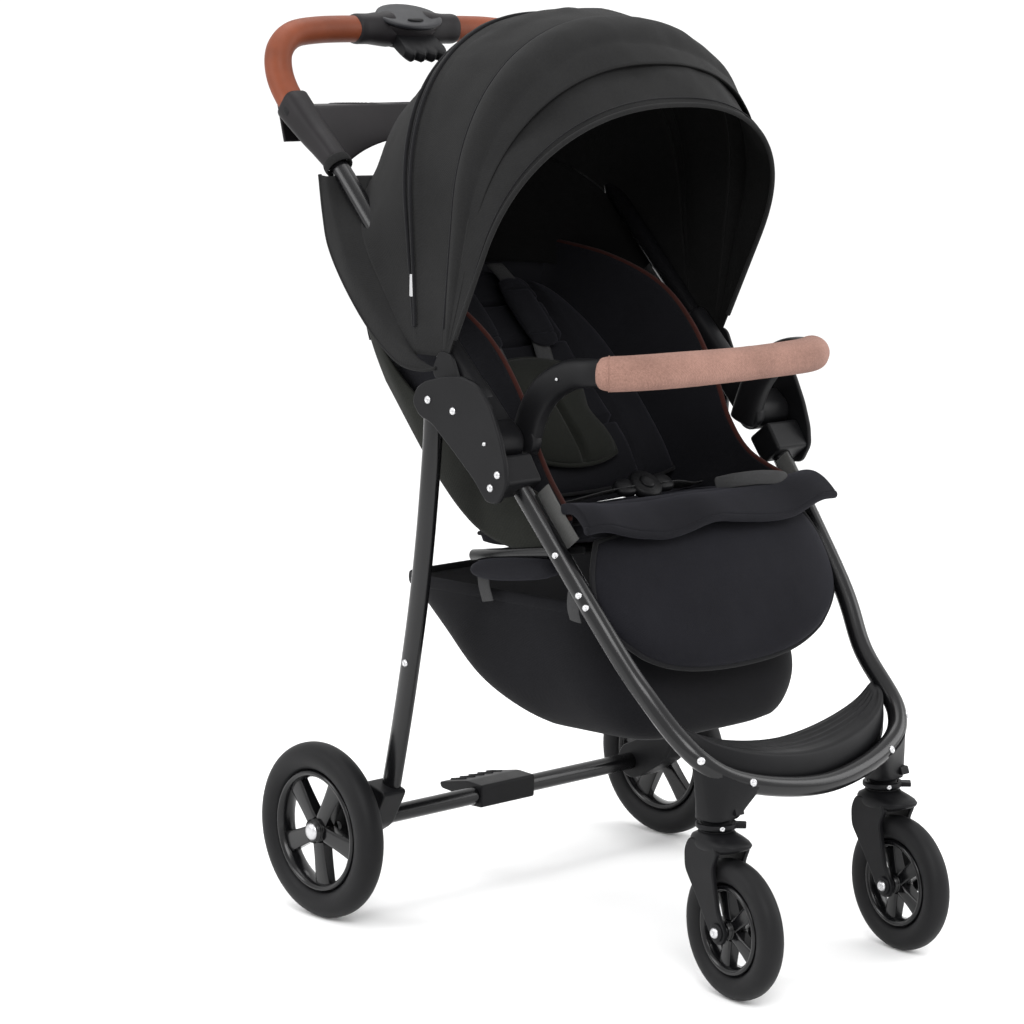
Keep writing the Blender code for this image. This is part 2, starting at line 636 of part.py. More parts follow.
# ------------------------------------------------------------ bumper bar
BP = empty("bumper_axis", (0, BUMP_Y, BUMP_Z), ROOT)
bump_half = [(0.180, BUMP_Y, BUMP_Z), (0.180, 0.234, 0.634), (0.179, 0.214, 0.664),
             (0.177, 0.188, 0.678), (0.1735, 0.164, 0.679), (0.160, 0.143, 0.679),
             (0.125, 0.130, 0.679), (0.060, 0.1215, 0.679), (0.0, 0.119, 0.679)]
bump = smooth_path(both_sides(bump_half), 2)
END = 9                      # sample where each arm ends and the padded bar starts
for side, s in SIDES:
    seg = bump if s > 0 else list(reversed(bump))
    arm_pts = [tuple(p) for p in seg[:END]]
    put(tube("bumper_arm_" + side, arm_pts, 0.0125), BP, "plastic")
core = [p.copy() for p in bump[END - 1:len(bump) - END + 1]]


def shorten(pts, by):
    a = pts[0] + (pts[1] - pts[0]).normalized() * by
    b = pts[-1] + (pts[-2] - pts[-1]).normalized() * by
    return [a] + pts[1:-1] + [b]


put(tube("bumper_tube", shorten(core, 0.0050), 0.0080), BP, "tube")
put(sleeve("bumper_pad", shorten(core, 0.0085), 0.0205, 0.0086, 3), BP, "tan")

# the middle of the length stands over the origin
ROOT.location = (0.0, -ORIGIN_Y, 0.0)
bpy.context.view_layer.update()
for c in list(CUTTERS.objects):
    bpy.data.objects.remove(c, do_unlink=True)
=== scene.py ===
import bpy
import bmesh
import math
import numpy as np
from mathutils import Vector, Matrix, noise

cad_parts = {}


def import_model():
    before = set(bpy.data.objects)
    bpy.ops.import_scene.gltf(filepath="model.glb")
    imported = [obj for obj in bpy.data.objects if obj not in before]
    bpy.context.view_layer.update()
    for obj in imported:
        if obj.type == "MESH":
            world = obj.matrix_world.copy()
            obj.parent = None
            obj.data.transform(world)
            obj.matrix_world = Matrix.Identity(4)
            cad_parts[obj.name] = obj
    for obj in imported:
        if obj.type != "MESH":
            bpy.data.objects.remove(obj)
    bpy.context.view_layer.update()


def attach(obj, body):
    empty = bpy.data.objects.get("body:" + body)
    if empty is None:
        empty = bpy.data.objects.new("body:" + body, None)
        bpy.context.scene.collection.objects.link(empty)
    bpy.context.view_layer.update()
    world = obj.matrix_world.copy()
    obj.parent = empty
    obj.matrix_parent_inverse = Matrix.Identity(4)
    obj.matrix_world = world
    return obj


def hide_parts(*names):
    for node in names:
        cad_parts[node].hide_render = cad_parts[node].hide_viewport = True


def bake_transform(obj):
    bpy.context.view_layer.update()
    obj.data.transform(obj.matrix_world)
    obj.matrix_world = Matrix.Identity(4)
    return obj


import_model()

OY = 0.3044                       # the castor swivel line lies this far in front of the origin
SIDES = (("left", 1.0), ("right", -1.0))

# ---------------------------------------------------------------- materials


def principled(name):
    m = bpy.data.materials.new(name)
    m.use_nodes = True
    nt = m.node_tree
    b = nt.nodes["Principled BSDF"]
    return m, nt, b


def node(nt, kind, **kw):
    n = nt.nodes.new(kind)
    for k, v in kw.items():
        if k in n.inputs:
            n.inputs[k].default_value = v
        else:
            setattr(n, k, v)
    return n


def coords(nt):
    return nt.nodes.new("ShaderNodeTexCoord").outputs["Object"]


def ramp(nt, fac, stops):
    r = nt.nodes.new("ShaderNodeValToRGB")
    e = r.color_ramp.elements
    while len(e) < len(stops):
        e.new(0.5)
    for el, (p, c) in zip(e, stops):
        el.position = p
        el.color = (*c, 1.0) if len(c) == 3 else c
    nt.links.new(fac, r.inputs["Fac"])
    return r.outputs["Color"]


def noise_tex(nt, co, scale, detail=3.0, rough=0.55):
    n = nt.nodes.new("ShaderNodeTexNoise")
    n.inputs["Scale"].default_value = scale
    n.inputs["Detail"].default_value = detail
    n.inputs["Roughness"].default_value = rough
    nt.links.new(co, n.inputs["Vector"])
    return n.outputs["Fac"]


def bump(nt, b, height, strength, distance):
    bm = nt.nodes.new("ShaderNodeBump")
    bm.inputs["Strength"].default_value = strength
    bm.inputs["Distance"].default_value = distance
    nt.links.new(height, bm.inputs["Height"])
    nt.links.new(bm.outputs["Normal"], b.inputs["Normal"])
    return bm


def mathn(nt, op, a, c):
    m = nt.nodes.new("ShaderNodeMath")
    m.operation = op
    for i, v in enumerate((a, c)):
        if isinstance(v, (int, float)):
            m.inputs[i].default_value = v
        else:
            nt.links.new(v, m.inputs[i])
    return m.outputs[0]


def scaled(c, k):
    return tuple(min(1.0, x * k) for x in c)


def moulded(name, col, rough, grain=0.25, coat=0.0, metal=0.0, var=0.18, spec=0.5, scale=900.0):
    """Painted metal or moulded plastic: mottled tone, roughness variation and a fine grain."""
    m, nt, b = principled(name)
    co = coords(nt)
    n1 = noise_tex(nt, co, 14.0, 4.0)
    c = ramp(nt, n1, [(0.3, scaled(col, 1 - var)), (0.7, scaled(col, 1 + var))])
    nt.links.new(c, b.inputs["Base Color"])
    r = nt.nodes.new("ShaderNodeMapRange")
    r.inputs["To Min"].default_value = max(0.03, rough - 0.06)
    r.inputs["To Max"].default_value = rough + 0.07
    nt.links.new(noise_tex(nt, co, 60.0, 5.0), r.inputs["Value"])
    nt.links.new(r.outputs["Result"], b.inputs["Roughness"])
    b.inputs["Metallic"].default_value = metal
    b.inputs["Specular IOR Level"].default_value = spec
    b.inputs["Coat Weight"].default_value = coat
    b.inputs["Coat Roughness"].default_value = 0.2
    if grain:
        bump(nt, b, noise_tex(nt, co, scale, 2.0), grain, 0.0003)
    return m


def cloth(name, col, rough=0.9, weave=1500.0, strength=0.35, sheen=0.25, tint=(0.5, 0.5, 0.5), var=0.22,
          melange=0.0, light=None):
    """Woven cloth: two crossing thread waves, uneven yarn tone, soft sheen."""
    m, nt, b = principled(name)
    co = coords(nt)
    waves = []
    for rot in ((0.0, 0.0, 0.785), (0.0, 0.785, 2.356), (0.785, 0.4, 0.0)):
        mp = nt.nodes.new("ShaderNodeMapping")
        mp.inputs["Rotation"].default_value = rot
        nt.links.new(co, mp.inputs["Vector"])
        w = nt.nodes.new("ShaderNodeTexWave")
        w.wave_type = "BANDS"
        w.bands_direction = "X"
        w.inputs["Scale"].default_value = weave / 6.283
        w.inputs["Distortion"].default_value = 0.6
        w.inputs["Detail"].default_value = 1.0
        w.inputs["Detail Scale"].default_value = 2.0
        nt.links.new(mp.outputs["Vector"], w.inputs["Vector"])
        waves.append(w.outputs["Fac"])
    h = mathn(nt, "ADD", mathn(nt, "MULTIPLY", waves[0], waves[1]), mathn(nt, "MULTIPLY", waves[2], 0.5))
    big = noise_tex(nt, co, 9.0, 4.0, 0.6)
    yarn = noise_tex(nt, co, 420.0, 3.0, 0.7)
    mix = mathn(nt, "ADD", mathn(nt, "MULTIPLY", big, 0.6), mathn(nt, "MULTIPLY", yarn, 0.4))
    hi = light if light else scaled(col, 1 + var)
    c = ramp(nt, mix, [(0.34 + 0.1 * melange, scaled(col, 1 - var)), (0.62, hi)])
    dark = nt.nodes.new("ShaderNodeMixRGB")
    dark.blend_type = "MULTIPLY"
    dark.inputs["Fac"].default_value = 0.35
    nt.links.new(c, dark.inputs[1])
    nt.links.new(ramp(nt, h, [(0.0, (0.55, 0.55, 0.55)), (0.8, (1, 1, 1))]), dark.inputs[2])
    nt.links.new(dark.outputs[0], b.inputs["Base Color"])
    b.inputs["Roughness"].default_value = rough
    b.inputs["Specular IOR Level"].default_value = 0.10
    b.inputs["Sheen Weight"].default_value = sheen
    b.inputs["Sheen Roughness"].default_value = 0.5
    b.inputs["Sheen Tint"].default_value = (*tint, 1.0)
    hh = mathn(nt, "ADD", h, mathn(nt, "MULTIPLY", yarn, 0.8))
    bump(nt, b, hh, strength, 0.0005)
    return m


def leather(name, col):
    m, nt, b = principled(name)
    co = coords(nt)
    v = nt.nodes.new("ShaderNodeTexVoronoi")
    v.feature = "DISTANCE_TO_EDGE"
    v.inputs["Scale"].default_value = 650.0
    nt.links.new(co, v.inputs["Vector"])
    c = ramp(nt, noise_tex(nt, co, 22.0, 5.0), [(0.3, scaled(col, 0.78)), (0.7, scaled(col, 1.18))])
    nt.links.new(c, b.inputs["Base Color"])
    r = nt.nodes.new("ShaderNodeMapRange")
    r.inputs["To Min"].default_value = 0.42
    r.inputs["To Max"].default_value = 0.60
    nt.links.new(noise_tex(nt, co, 80.0, 4.0), r.inputs["Value"])
    nt.links.new(r.outputs["Result"], b.inputs["Roughness"])
    b.inputs["Specular IOR Level"].default_value = 0.22
    h = mathn(nt, "ADD", mathn(nt, "MULTIPLY", v.outputs["Distance"], 1.2), noise_tex(nt, co, 300.0, 3.0))
    bump(nt, b, h, 0.25, 0.0004)
    return m


TUBE = moulded("tube_black", (0.0050, 0.0050, 0.0056), 0.24, grain=0.12, coat=0.25, metal=0.2, spec=0.25, scale=2200.0)
PLASTIC = moulded("plastic_black", (0.0048, 0.0048, 0.0055), 0.46, grain=0.35, spec=0.14)
TRAYP = moulded("plastic_grey", (0.0100, 0.0088, 0.0098), 0.50, grain=0.3, spec=0.16)
DISC = moulded("plastic_disc", (0.0125, 0.0128, 0.0150), 0.40, grain=0.2, spec=0.2)
RIM = moulded("rim_gloss", (0.0035, 0.0035, 0.0040), 0.20, grain=0.06, coat=0.25, spec=0.2)
TYRE = moulded("tyre_rubber", (0.0070, 0.0070, 0.0076), 0.50, grain=0.4, scale=1300.0, spec=0.14)
STEEL = moulded("zinc_steel", (0.55, 0.55, 0.56), 0.34, grain=0.1, metal=1.0, var=0.08)
GRIP = leather("grip_leather", (0.150, 0.036, 0.014))
CANOPY = cloth("canopy_cloth", (0.0125, 0.0125, 0.0127), weave=1500.0, sheen=0.05)
# darker copy of the canopy cloth: painted shade for the canopy's inward faces and for the sheet under its rear edge
CANOPY_SHADE_COPY = cloth("canopy_painted_shade", (0.0035, 0.0035, 0.0035), weave=1700.0, sheen=0.02)
SEAT = cloth("seat_cloth", (0.0060, 0.0060, 0.0074), weave=1600.0, sheen=0.08, tint=(0.45, 0.45, 0.55))
CALF = cloth("calf_cloth", (0.0065, 0.0065, 0.0085), weave=1600.0, sheen=0.06, tint=(0.5, 0.5, 0.6))
INSERT = cloth("insert_cloth", (0.0105, 0.0112, 0.0092), weave=1400.0, sheen=0.1)
BASKET = cloth("basket_cloth", (0.0048, 0.0048, 0.0060), weave=1800.0, sheen=0.06, rough=0.8)
WEB = cloth("webbing", (0.040, 0.040, 0.041), weave=2600.0, strength=0.6, sheen=0.1)
PIPING = cloth("piping_brown", (0.030, 0.008, 0.006), weave=2200.0, sheen=0.1)
BLACKPIPE = cloth("piping_black", (0.008, 0.008, 0.009), weave=2200.0, sheen=0.1)
TAN = cloth("bumper_cloth", (0.215, 0.120, 0.094), weave=1250.0, strength=0.5, sheen=0.12, tint=(0.8, 0.6, 0.55),
            var=0.28, light=(0.30, 0.172, 0.138))
REFLECT = cloth("side_trim", (0.075, 0.075, 0.073), weave=2400.0, sheen=0.2)

# ---------------------------------------------------------------- mesh helpers


def obj(name, verts, faces, smooth=True):
    me = bpy.data.meshes.new(name)
    me.from_pydata([tuple(map(float, v)) for v in verts], [], [tuple(f) for f in faces])
    me.validate()
    bm = bmesh.new()
    bm.from_mesh(me)
    bmesh.ops.remove_doubles(bm, verts=bm.verts, dist=1e-6)
    bmesh.ops.recalc_face_normals(bm, faces=bm.faces)
    bm.to_mesh(me)
    bm.free()
    if smooth:
        me.shade_smooth()
    o = bpy.data.objects.new(name, me)
    bpy.context.scene.collection.objects.link(o)
    return o


def done(o, body, mat, rep=(), blend=None):
    """Moves a piece from the castor-line frame to the row frame, dresses it and lets it ride."""
    o.data.transform(Matrix.Translation((0, -OY, 0)))
    if mat is not None:
        keep = [p.material_index for p in o.data.polygons]
        o.data.materials.clear()
        for m in (mat if isinstance(mat, (list, tuple)) else [mat]):
            o.data.materials.append(m)
        o.data.polygons.foreach_set("material_index", keep)
    if blend:
        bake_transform(o)
    else:
        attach(o, body)
    if rep:
        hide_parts(*([rep] if isinstance(rep, str) else rep))
    return o


def catmull(points, n):
    p = [Vector(q) for q in points]
    p = [p[0] * 2 - p[1]] + p + [p[-1] * 2 - p[-2]]
    out = []
    for i in range(1, len(p) - 2):
        a, b, c, d = p[i - 1], p[i], p[i + 1], p[i + 2]
        for k in range(n):
            t = k / n
            out.append(0.5 * ((2 * b) + (c - a) * t + (2 * a - 5 * b + 4 * c - d) * t * t
                              + (3 * b - a - 3 * c + d) * t ** 3))
    out.append(p[-2])
    return out


def both(half):
    return half + [(-x, y, z) for x, y, z in reversed(half[:-1])]


def sweep(name, pts, rad, seg=20, up=(1, 0, 0), caps="round", power=2.0, closed=False):
    """A section swept along a path. rad(s) gives (half width across up, half width along up)."""
    P = [Vector(p) for p in pts]
    n = len(P)
    L = [0.0]
    for a, b in zip(P, P[1:]):
        L.append(L[-1] + (b - a).length)
    T = []
    for i in range(n):
        if closed:
            d = P[(i + 1) % n] - P[i - 1]
        else:
            d = P[min(i + 1, n - 1)] - P[max(i - 1, 0)]
        T.append(d.normalized())
    N = Vector(up) - T[0] * Vector(up).dot(T[0])
    N.normalize()
    rings = []
    for i in range(n):
        N = (N - T[i] * N.dot(T[i])).normalized()
        B = T[i].cross(N)
        r = rad(L[i] / L[-1]) if callable(rad) else rad
        ra, rb = r if isinstance(r, (tuple, list)) else (r, r)
        ring = []
        for k in range(seg):
            a = 2 * math.pi * k / seg
            c, s = math.cos(a), math.sin(a)
            if power != 2.0:
                c = math.copysign(abs(c) ** (2 / power), c)
                s = math.copysign(abs(s) ** (2 / power), s)
            ring.append(P[i] + N * (rb * c) + B * (ra * s))
        rings.append(ring)
    if not closed and caps == "round":
        def cap(ring, centre, d, r):
            out = []
            for f, h in ((0.97, 0.12), (0.82, 0.30), (0.5, 0.42)):
                out.append([centre + (p - centre) * f + d * (h * r) for p in ring])
            return out
        r0 = (rings[0][0] - P[0]).length
        r1 = (rings[-1][0] - P[-1]).length
        start = list(reversed(cap(rings[0], P[0], -T[0], r0)))
        rings = start + rings + cap(rings[-1], P[-1], T[-1], r1)
    V, F = [], []
    for r in rings:
        V += r
    m = len(rings)
    for i in range(m if closed else m - 1):
        j = (i + 1) % m
        for k in range(seg):
            l = (k + 1) % seg
            F.append((i * seg + k, i * seg + l, j * seg + l, j * seg + k))
    if not closed:
        F.append(tuple(range(seg)))
        F.append(tuple((m - 1) * seg + k for k in reversed(range(seg))))
    return obj(name, V, F)


def revolve(name, prof, M, steps=48, closed=True):
    V, F = [], []
    n = len(prof)
    for i in range(steps):
        a = 2 * math.pi * i / steps
        for r, z in prof:
            V.append(M @ Vector((r * math.cos(a), r * math.sin(a), z)))
    for i in range(steps):
        j = (i + 1) % steps
        for k in range(n if closed else n - 1):
            l = (k + 1) % n
            F.append((i * n + k, j * n + k, j * n + l, i * n + l))
    return obj(name, V, F)


def bevelled(o, width, segs=3, angle=35):
    m = o.modifiers.new("bevel", "BEVEL")
    m.width = width
    m.segments = segs
    m.limit_method = "ANGLE"
    m.angle_limit = math.radians(angle)
    m.use_clamp_overlap = True
    w = o.modifiers.new("wn", "WEIGHTED_NORMAL")
    w.keep_sharp = False
    return o


def prism(name, outline, x0, x1, M=None, bevel=0.002, segs=3):
    """A side-view outline (y, z) from x0 to x1, edges bevelled."""
    M = M or Matrix.Identity(4)
    n = len(outline)
    V = [M @ Vector((x0, y, z)) for y, z in outline] + [M @ Vector((x1, y, z)) for y, z in outline]
    F = [tuple(range(n)), tuple(reversed(range(n, 2 * n)))]
    for i in range(n):
        j = (i + 1) % n
        F.append((i, i + n, j + n, j))
    o = obj(name, V, F)
    if bevel:
        bevelled(o, bevel, segs)
    return o


def round_outline(pts, r=0.006, n=4):
    """Rounds the corners of a 2D outline."""
    out = []
    m = len(pts)
    for i in range(m):
        a, b, c = Vector(pts[i - 1]), Vector(pts[i]), Vector(pts[(i + 1) % m])
        u, v = (a - b), (c - b)
        k = min(r, u.length * 0.45, v.length * 0.45)
        p, q = b + u.normalized() * k, b + v.normalized() * k
        for j in range(n + 1):
            t = j / n
            w = p * (1 - t) ** 2 + b * 2 * t * (1 - t) + q * t * t
            out.append((w.x, w.y))
    return out


def wob(p, scale, amp, seed=0.0):
    return noise.noise(Vector((p[0] * scale + seed, p[1] * scale - seed, p[2] * scale + 2 * seed))) * amp


def pillow(name, W, L, top, bot, M, nx=40, ny=40, k=0.35, shape=None, groove=None, edge=5.0,
           wrinkle=0.0015, wscale=14.0, seed=0.0, post=None):
    """A crowned closed pad over a rounded rectangle; groove(x, y) is 0..1 where a seam pulls in."""
    V, F = [], []
    idx_t, idx_b = {}, {}

    def xy(u, v):
        x, y = u * math.sqrt(1 - k * v * v / 2), v * math.sqrt(1 - k * u * u / 2)
        x, y = x * W, (y * 0.5 + 0.5) * L
        return shape(x, y, u, v) if shape else (x, y)
    for layer in (1, -1):
        for i in range(nx + 1):
            for j in range(ny + 1):
                u, v = 2 * i / nx - 1, 2 * j / ny - 1
                u, v = math.sin(u * math.pi / 2) * 0.35 + u * 0.65, math.sin(v * math.pi / 2) * 0.35 + v * 0.65
                rim = i in (0, nx) or j in (0, ny)
                if rim and layer < 0:
                    idx_b[i, j] = idx_t[i, j]
                    continue
                x, y = xy(u, v)
                h = (max(0.0, 1 - abs(u) ** edge) * max(0.0, 1 - abs(v) ** edge)) ** 0.5
                g = groove(x, y) if groove else 0.0
                z = (top if layer > 0 else -bot) * h * (1 - g * (0.75 if layer > 0 else 0.3))
                p = Vector((x, y, z))
                if wrinkle:
                    p.z += h * wob(p, wscale, wrinkle, seed) + h * wob(p, wscale * 2.7, wrinkle * 0.4, seed + 5)
                if post:
                    p = post(p, u, v, layer)
                (idx_t if layer > 0 else idx_b)[i, j] = len(V)
                V.append(M @ p)
    for i in range(nx):
        for j in range(ny):
            F.append((idx_t[i, j], idx_t[i + 1, j], idx_t[i + 1, j + 1], idx_t[i, j + 1]))
            F.append((idx_b[i, j], idx_b[i, j + 1], idx_b[i + 1, j + 1], idx_b[i + 1, j]))
    o = obj(name, V, F)
    # boundary loop of the top layer, for the piping
    loop = [idx_t[i, 0] for i in range(nx)] + [idx_t[nx, j] for j in range(ny)] \
        + [idx_t[i, ny] for i in range(nx, 0, -1)] + [idx_t[0, j] for j in range(ny, 0, -1)]
    edge_pts = [V[q] for q in loop]
    return o, edge_pts


def sheet_grid(name, fn, nu, nv, thick, mats=2, offset=0.0):
    V = [fn(i / nu, j / nv) for i in range(nu + 1) for j in range(nv + 1)]
    F = []
    for i in range(nu):
        for j in range(nv):
            a = i * (nv + 1) + j
            F.append((a, a + nv + 1, a + nv + 2, a + 1))
    me = bpy.data.meshes.new(name)
    me.from_pydata([tuple(v) for v in V], [], F)
    me.shade_smooth()
    o = bpy.data.objects.new(name, me)
    bpy.context.scene.collection.objects.link(o)
    mid = V[(nu // 2) * (nv + 1):(nu // 2 + 1) * (nv + 1)]
    sum((Vector(q) - Vector(p)).length for p, q in zip(mid, mid[1:]))
    m = o.modifiers.new("cloth", "SOLIDIFY")
    m.thickness = thick
    m.offset = offset
    m.use_even_offset = False
    if mats > 1:
        dg = bpy.context.evaluated_depsgraph_get()
        dg.update()
        me2 = bpy.data.meshes.new_from_object(o.evaluated_get(dg))
        o.modifiers.clear()
        o.data = me2
        o.data.materials.clear()
        o.data.materials.append(None)
        o.data.materials.append(None)
        # faces turned in towards the canopy's middle take the second slot; on the canopy panels that slot holds a
        # darker cloth copy, painted shade
        for p in me2.polygons:
            c = Vector((p.center.x * 0.9, p.center.y - 0.362, p.center.z - 0.62))
            p.material_index = 1 if p.normal.dot(c) < 0 else 0
        me2["one_side"] = 0.5
    return o


def sheet_of(o, wide=None):
    """Returns the cloth object unchanged."""
    return o


def rivet(name, at, direction, body, r=0.0048, h=0.0026, mat=None):
    """A domed rivet head with a small dimple."""
    q = Vector(direction).to_track_quat("Z", "Y").to_matrix().to_4x4()
    M = Matrix.Translation(Vector(at)) @ q
    prof = [(0.0, -0.002), (r * 0.9, -0.002), (r, 0.0), (r * 0.97, h * 0.45), (r * 0.75, h * 0.85),
            (r * 0.45, h), (r * 0.34, h * 0.75), (0.0, h * 0.7)]
    return done(revolve(name, prof, M, 24, closed=False), body, mat or STEEL)


# ---------------------------------------------------------------- front frame
tube_half = [(0.2140, 0.249, 0.558), (0.213, 0.241, 0.547), (0.198, 0.125, 0.404), (0.181, 0.072, 0.332),
             (0.166, 0.005, 0.270), (0.112, -0.0225, 0.237), (0.0, -0.035, 0.220)]
tube_path = catmull(both(tube_half), 12)
done(sweep("front_tube_v", tube_path, 0.0115, 24), "front_frame", TUBE, "front_tube")


def tube_at(x):
    low = [p for p in tube_path if p.z < 0.3]
    for a, b in zip(low, low[1:]):
        if min(a.x, b.x) <= x <= max(a.x, b.x) and a.x != b.x:
            t = (x - a.x) / (b.x - a.x)
            return a.y + t * (b.y - a.y), a.z + t * (b.z - a.z)
    return low[-1].y, low[-1].z


# step with ribs on its top
rings = []
NS = 96
for i in range(NS + 1):
    x = -0.1685 + 0.337 * i / NS
    yt, zt = tube_at(x)
    u = abs(x) / 0.1685
    end = max(0.0, (u - 0.9) / 0.1)
    yf = yt + 0.0116 + 0.014 * u ** 4
    yr = 0.038 + 0.004 * u * u
    top = zt + 0.036 * (1 - 0.30 * end * end)
    ring = [(x, yf, zt - 0.002), (x, yf - 0.0005, zt + 0.012), (x, yf + 0.001, top - 0.004), (x, yf + 0.004, top - 0.0008),
            (x, yf + 0.009, top)]
    span = yr - (yf + 0.012)
    for k in range(24):
        f = k / 23
        y = yf + 0.011 + span * f
        rib = 0.0012 * max(0.0, math.sin(f * 5 * 2 * math.pi)) if 0.1 < f < 0.92 and u < 0.86 else 0.0
        ring.append((x, y, top + 0.0045 * f + rib))
    ring += [(x, yr + 0.001, top + 0.002), (x, yr, top - 0.004), (x, yf + 0.008, top - 0.008), (x, yf + 0.004, zt + 0.004),
             (x, yf + 0.003, zt - 0.002)]
    rings.append(ring)
n = len(rings[0])
V = [p for r in rings for p in r]
F = [(i * n + k, i * n + (k + 1) % n, (i + 1) * n + (k + 1) % n, (i + 1) * n + k)
     for i in range(NS) for k in range(n)]
F += [tuple(range(n)), tuple(NS * n + k for k in reversed(range(n)))]
done(obj("foot_tray_v", V, F), "front_frame", PLASTIC, "foot_tray")
for s in (1, -1):
    for x, nm in ((0.112, "a"), (0.1630, "b")):
        y, z = tube_at(s * x)
        d = Vector((s * (0.25 if nm == "a" else 0.75), -0.85, 0.22)).normalized()
        rivet("tray_rivet_%s_%s" % (nm, "l" if s > 0 else "r"), Vector((s * x, y, z)) + d * 0.0112, d, "front_frame", r=0.0046)

# castor sockets: a tapering block under the bow with a small lock knob
for side, s in SIDES:
    rings = []
    seg = 40
    for i in range(15):
        f = i / 14
        zc = 0.1975 + 0.0 * f
        g = f ** 0.8
        ring = []
        for k in range(seg):
            a = 2 * math.pi * k / seg
            c, sn = math.cos(a), math.sin(a)
            c = math.copysign(abs(c) ** 0.62, c)
            sn = math.copysign(abs(sn) ** 0.62, sn)
            xa = CX = 0.138
            half = 0.0215 * (1 - g) + 0.0345 * g
            depth = 0.0200 * (1 - g) + 0.0150 * g
            cx = 0.138 * (1 - g) + 0.1325 * g
            x = cx + half * c
            yt, zt = tube_at(s * min(x, 0.168))
            y = 0.0 * (1 - g) + (yt + 0.001) * g + depth * sn
            z = 0.1980 * (1 - f) + (zt - 0.002) * f
            ring.append((s * x, y, z))
        rings.append(ring)
    V = [p for r in rings for p in r]
    F = [(i * seg + k, i * seg + (k + 1) % seg, (i + 1) * seg + (k + 1) % seg, (i + 1) * seg + k)
         for i in range(14) for k in range(seg)]
    F += [tuple(range(seg)), tuple(14 * seg + k for k in reversed(range(seg)))]
    done(bevelled(obj("castor_socket_v_" + side, V, F), 0.0015, 2), "front_frame", PLASTIC, "castor_socket_" + side)
    knob = prism("socket_knob_" + side, round_outline([(-0.027, 0.2035), (-0.016, 0.2035), (-0.016, 0.2125), (-0.024, 0.2125)], 0.002),
                 s * CX + 0.004, s * CX + 0.017, bevel=0.0008)
    done(knob, "front_frame", PLASTIC)

# ---------------------------------------------------------------- castors
arm = round_outline([(-0.049, 0.079), (-0.043, 0.066), (-0.030, 0.064), (-0.021, 0.074), (0.006, 0.112), (0.027, 0.138),
                     (0.0285, 0.160), (0.020, 0.1755), (-0.026, 0.1755), (-0.032, 0.166), (-0.023, 0.148), (-0.034, 0.100)], 0.007)
for side, s in SIDES:
    E = Matrix.Translation((s * 0.138, 0, 0)) @ Matrix.Rotation(math.radians(-9.0), 4, "Z")
    body = "castor_" + side
    parts = []
    for k, x0 in enumerate((-0.0240, 0.0176)):
        o = prism("fork_arm_%s_%d" % (side, k), arm, x0, x0 + 0.0064, E, bevel=0.0018)
        done(o, body, PLASTIC, ("castor_fork_" + side,) if k == 0 else ())
    # crown with a forward lip, swept as stacked super-ellipses
    rings = []
    seg = 48
    for z, yc, hx, hy in ((0.1645, -0.004, 0.0235, 0.030), (0.1670, -0.006, 0.0245, 0.034), (0.1700, -0.008, 0.0252, 0.0395),
                          (0.1735, -0.009, 0.0250, 0.0415), (0.1765, -0.008, 0.0238, 0.039), (0.1790, -0.005, 0.0222, 0.031),
                          (0.1815, -0.001, 0.0200, 0.0215), (0.1838, 0.0, 0.0190, 0.0190)):
        ring = []
        for k in range(seg):
            a = 2 * math.pi * k / seg
            ring.append(E @ Vector((hx * math.copysign(abs(math.cos(a)) ** 0.8, math.cos(a)),
                                    yc + hy * math.copysign(abs(math.sin(a)) ** 0.8, math.sin(a)), z)))
        rings.append(ring)
    V = [p for r in rings for p in r]
    m = len(rings)
    F = [(i * seg + k, i * seg + (k + 1) % seg, (i + 1) * seg + (k + 1) % seg, (i + 1) * seg + k)
         for i in range(m - 1) for k in range(seg)]
    F += [tuple(range(seg)), tuple((m - 1) * seg + k for k in reversed(range(seg)))]
    done(obj("fork_crown_" + side, V, F), body, PLASTIC)
    # stacked rings of the swivel
    prof = [(0.0, 0.1832), (0.0185, 0.1832), (0.0185, 0.1850), (0.0168, 0.1854), (0.0168, 0.1862), (0.0182, 0.1866),
            (0.0182, 0.1878), (0.0165, 0.1882), (0.0165, 0.1976), (0.0, 0.1976)]
    done(revolve("castor_stem_" + side, prof, E, 48, closed=False), body, PLASTIC, "castor_collar_" + side)
    # split collar with its tab, the swivel lock
    prof = [(0.0184, 0.1873), (0.0222, 0.1873), (0.0232, 0.1883), (0.0232, 0.1923), (0.0222, 0.1933), (0.0184, 0.1933)]
    done(revolve("castor_lock_ring_" + side, prof, E, 48), "castor_lock_" + side, PLASTIC, "castor_lock_" + side)
    tabM = E @ Matrix.Rotation(math.radians(52), 4, "Z")
    tab = prism("castor_lock_tab_" + side, round_outline([(-0.0330, 0.1877), (-0.0205, 0.1875), (-0.0205, 0.1931), (-0.0330, 0.1929)], 0.0015),
                -0.0075, 0.0075, tabM, bevel=0.0012)
    done(tab, "castor_lock_" + side, PLASTIC)
    d = (E.to_3x3() @ Vector((-0.35, -0.94, 0))).normalized()
    rivet("collar_screw_" + side, (E @ (Vector((-0.35, -0.937, 0)) * 0.0232 + Vector((0, 0, 0.1903)))), d, "castor_lock_" + side, r=0.0030, h=0.0016)
    # wheel bolt
    hub = Vector((0, -0.035, 0.079))
    axd = (E.to_3x3() @ Vector((1, 0, 0)))
    done(sweep("front_axle_v_" + side, [E @ (hub + Vector((-0.027, 0, 0))), E @ (hub + Vector((0.026, 0, 0)))], 0.0042, 20),
         body, STEEL, "front_axle_" + side)
    done(revolve("axle_washer_" + side, [(0.0, -0.0268), (0.0098, -0.0268), (0.0105, -0.0258), (0.0105, -0.0236), (0.0, -0.0236)],
                 E @ Matrix.Translation(hub) @ Matrix.Rotation(math.radians(90), 4, "Y"), 32, closed=False), body, PLASTIC)
    rivet("axle_head_" + side, E @ (hub + Vector((-0.0266, 0, 0))), -axd, body, r=0.0062, h=0.0040)


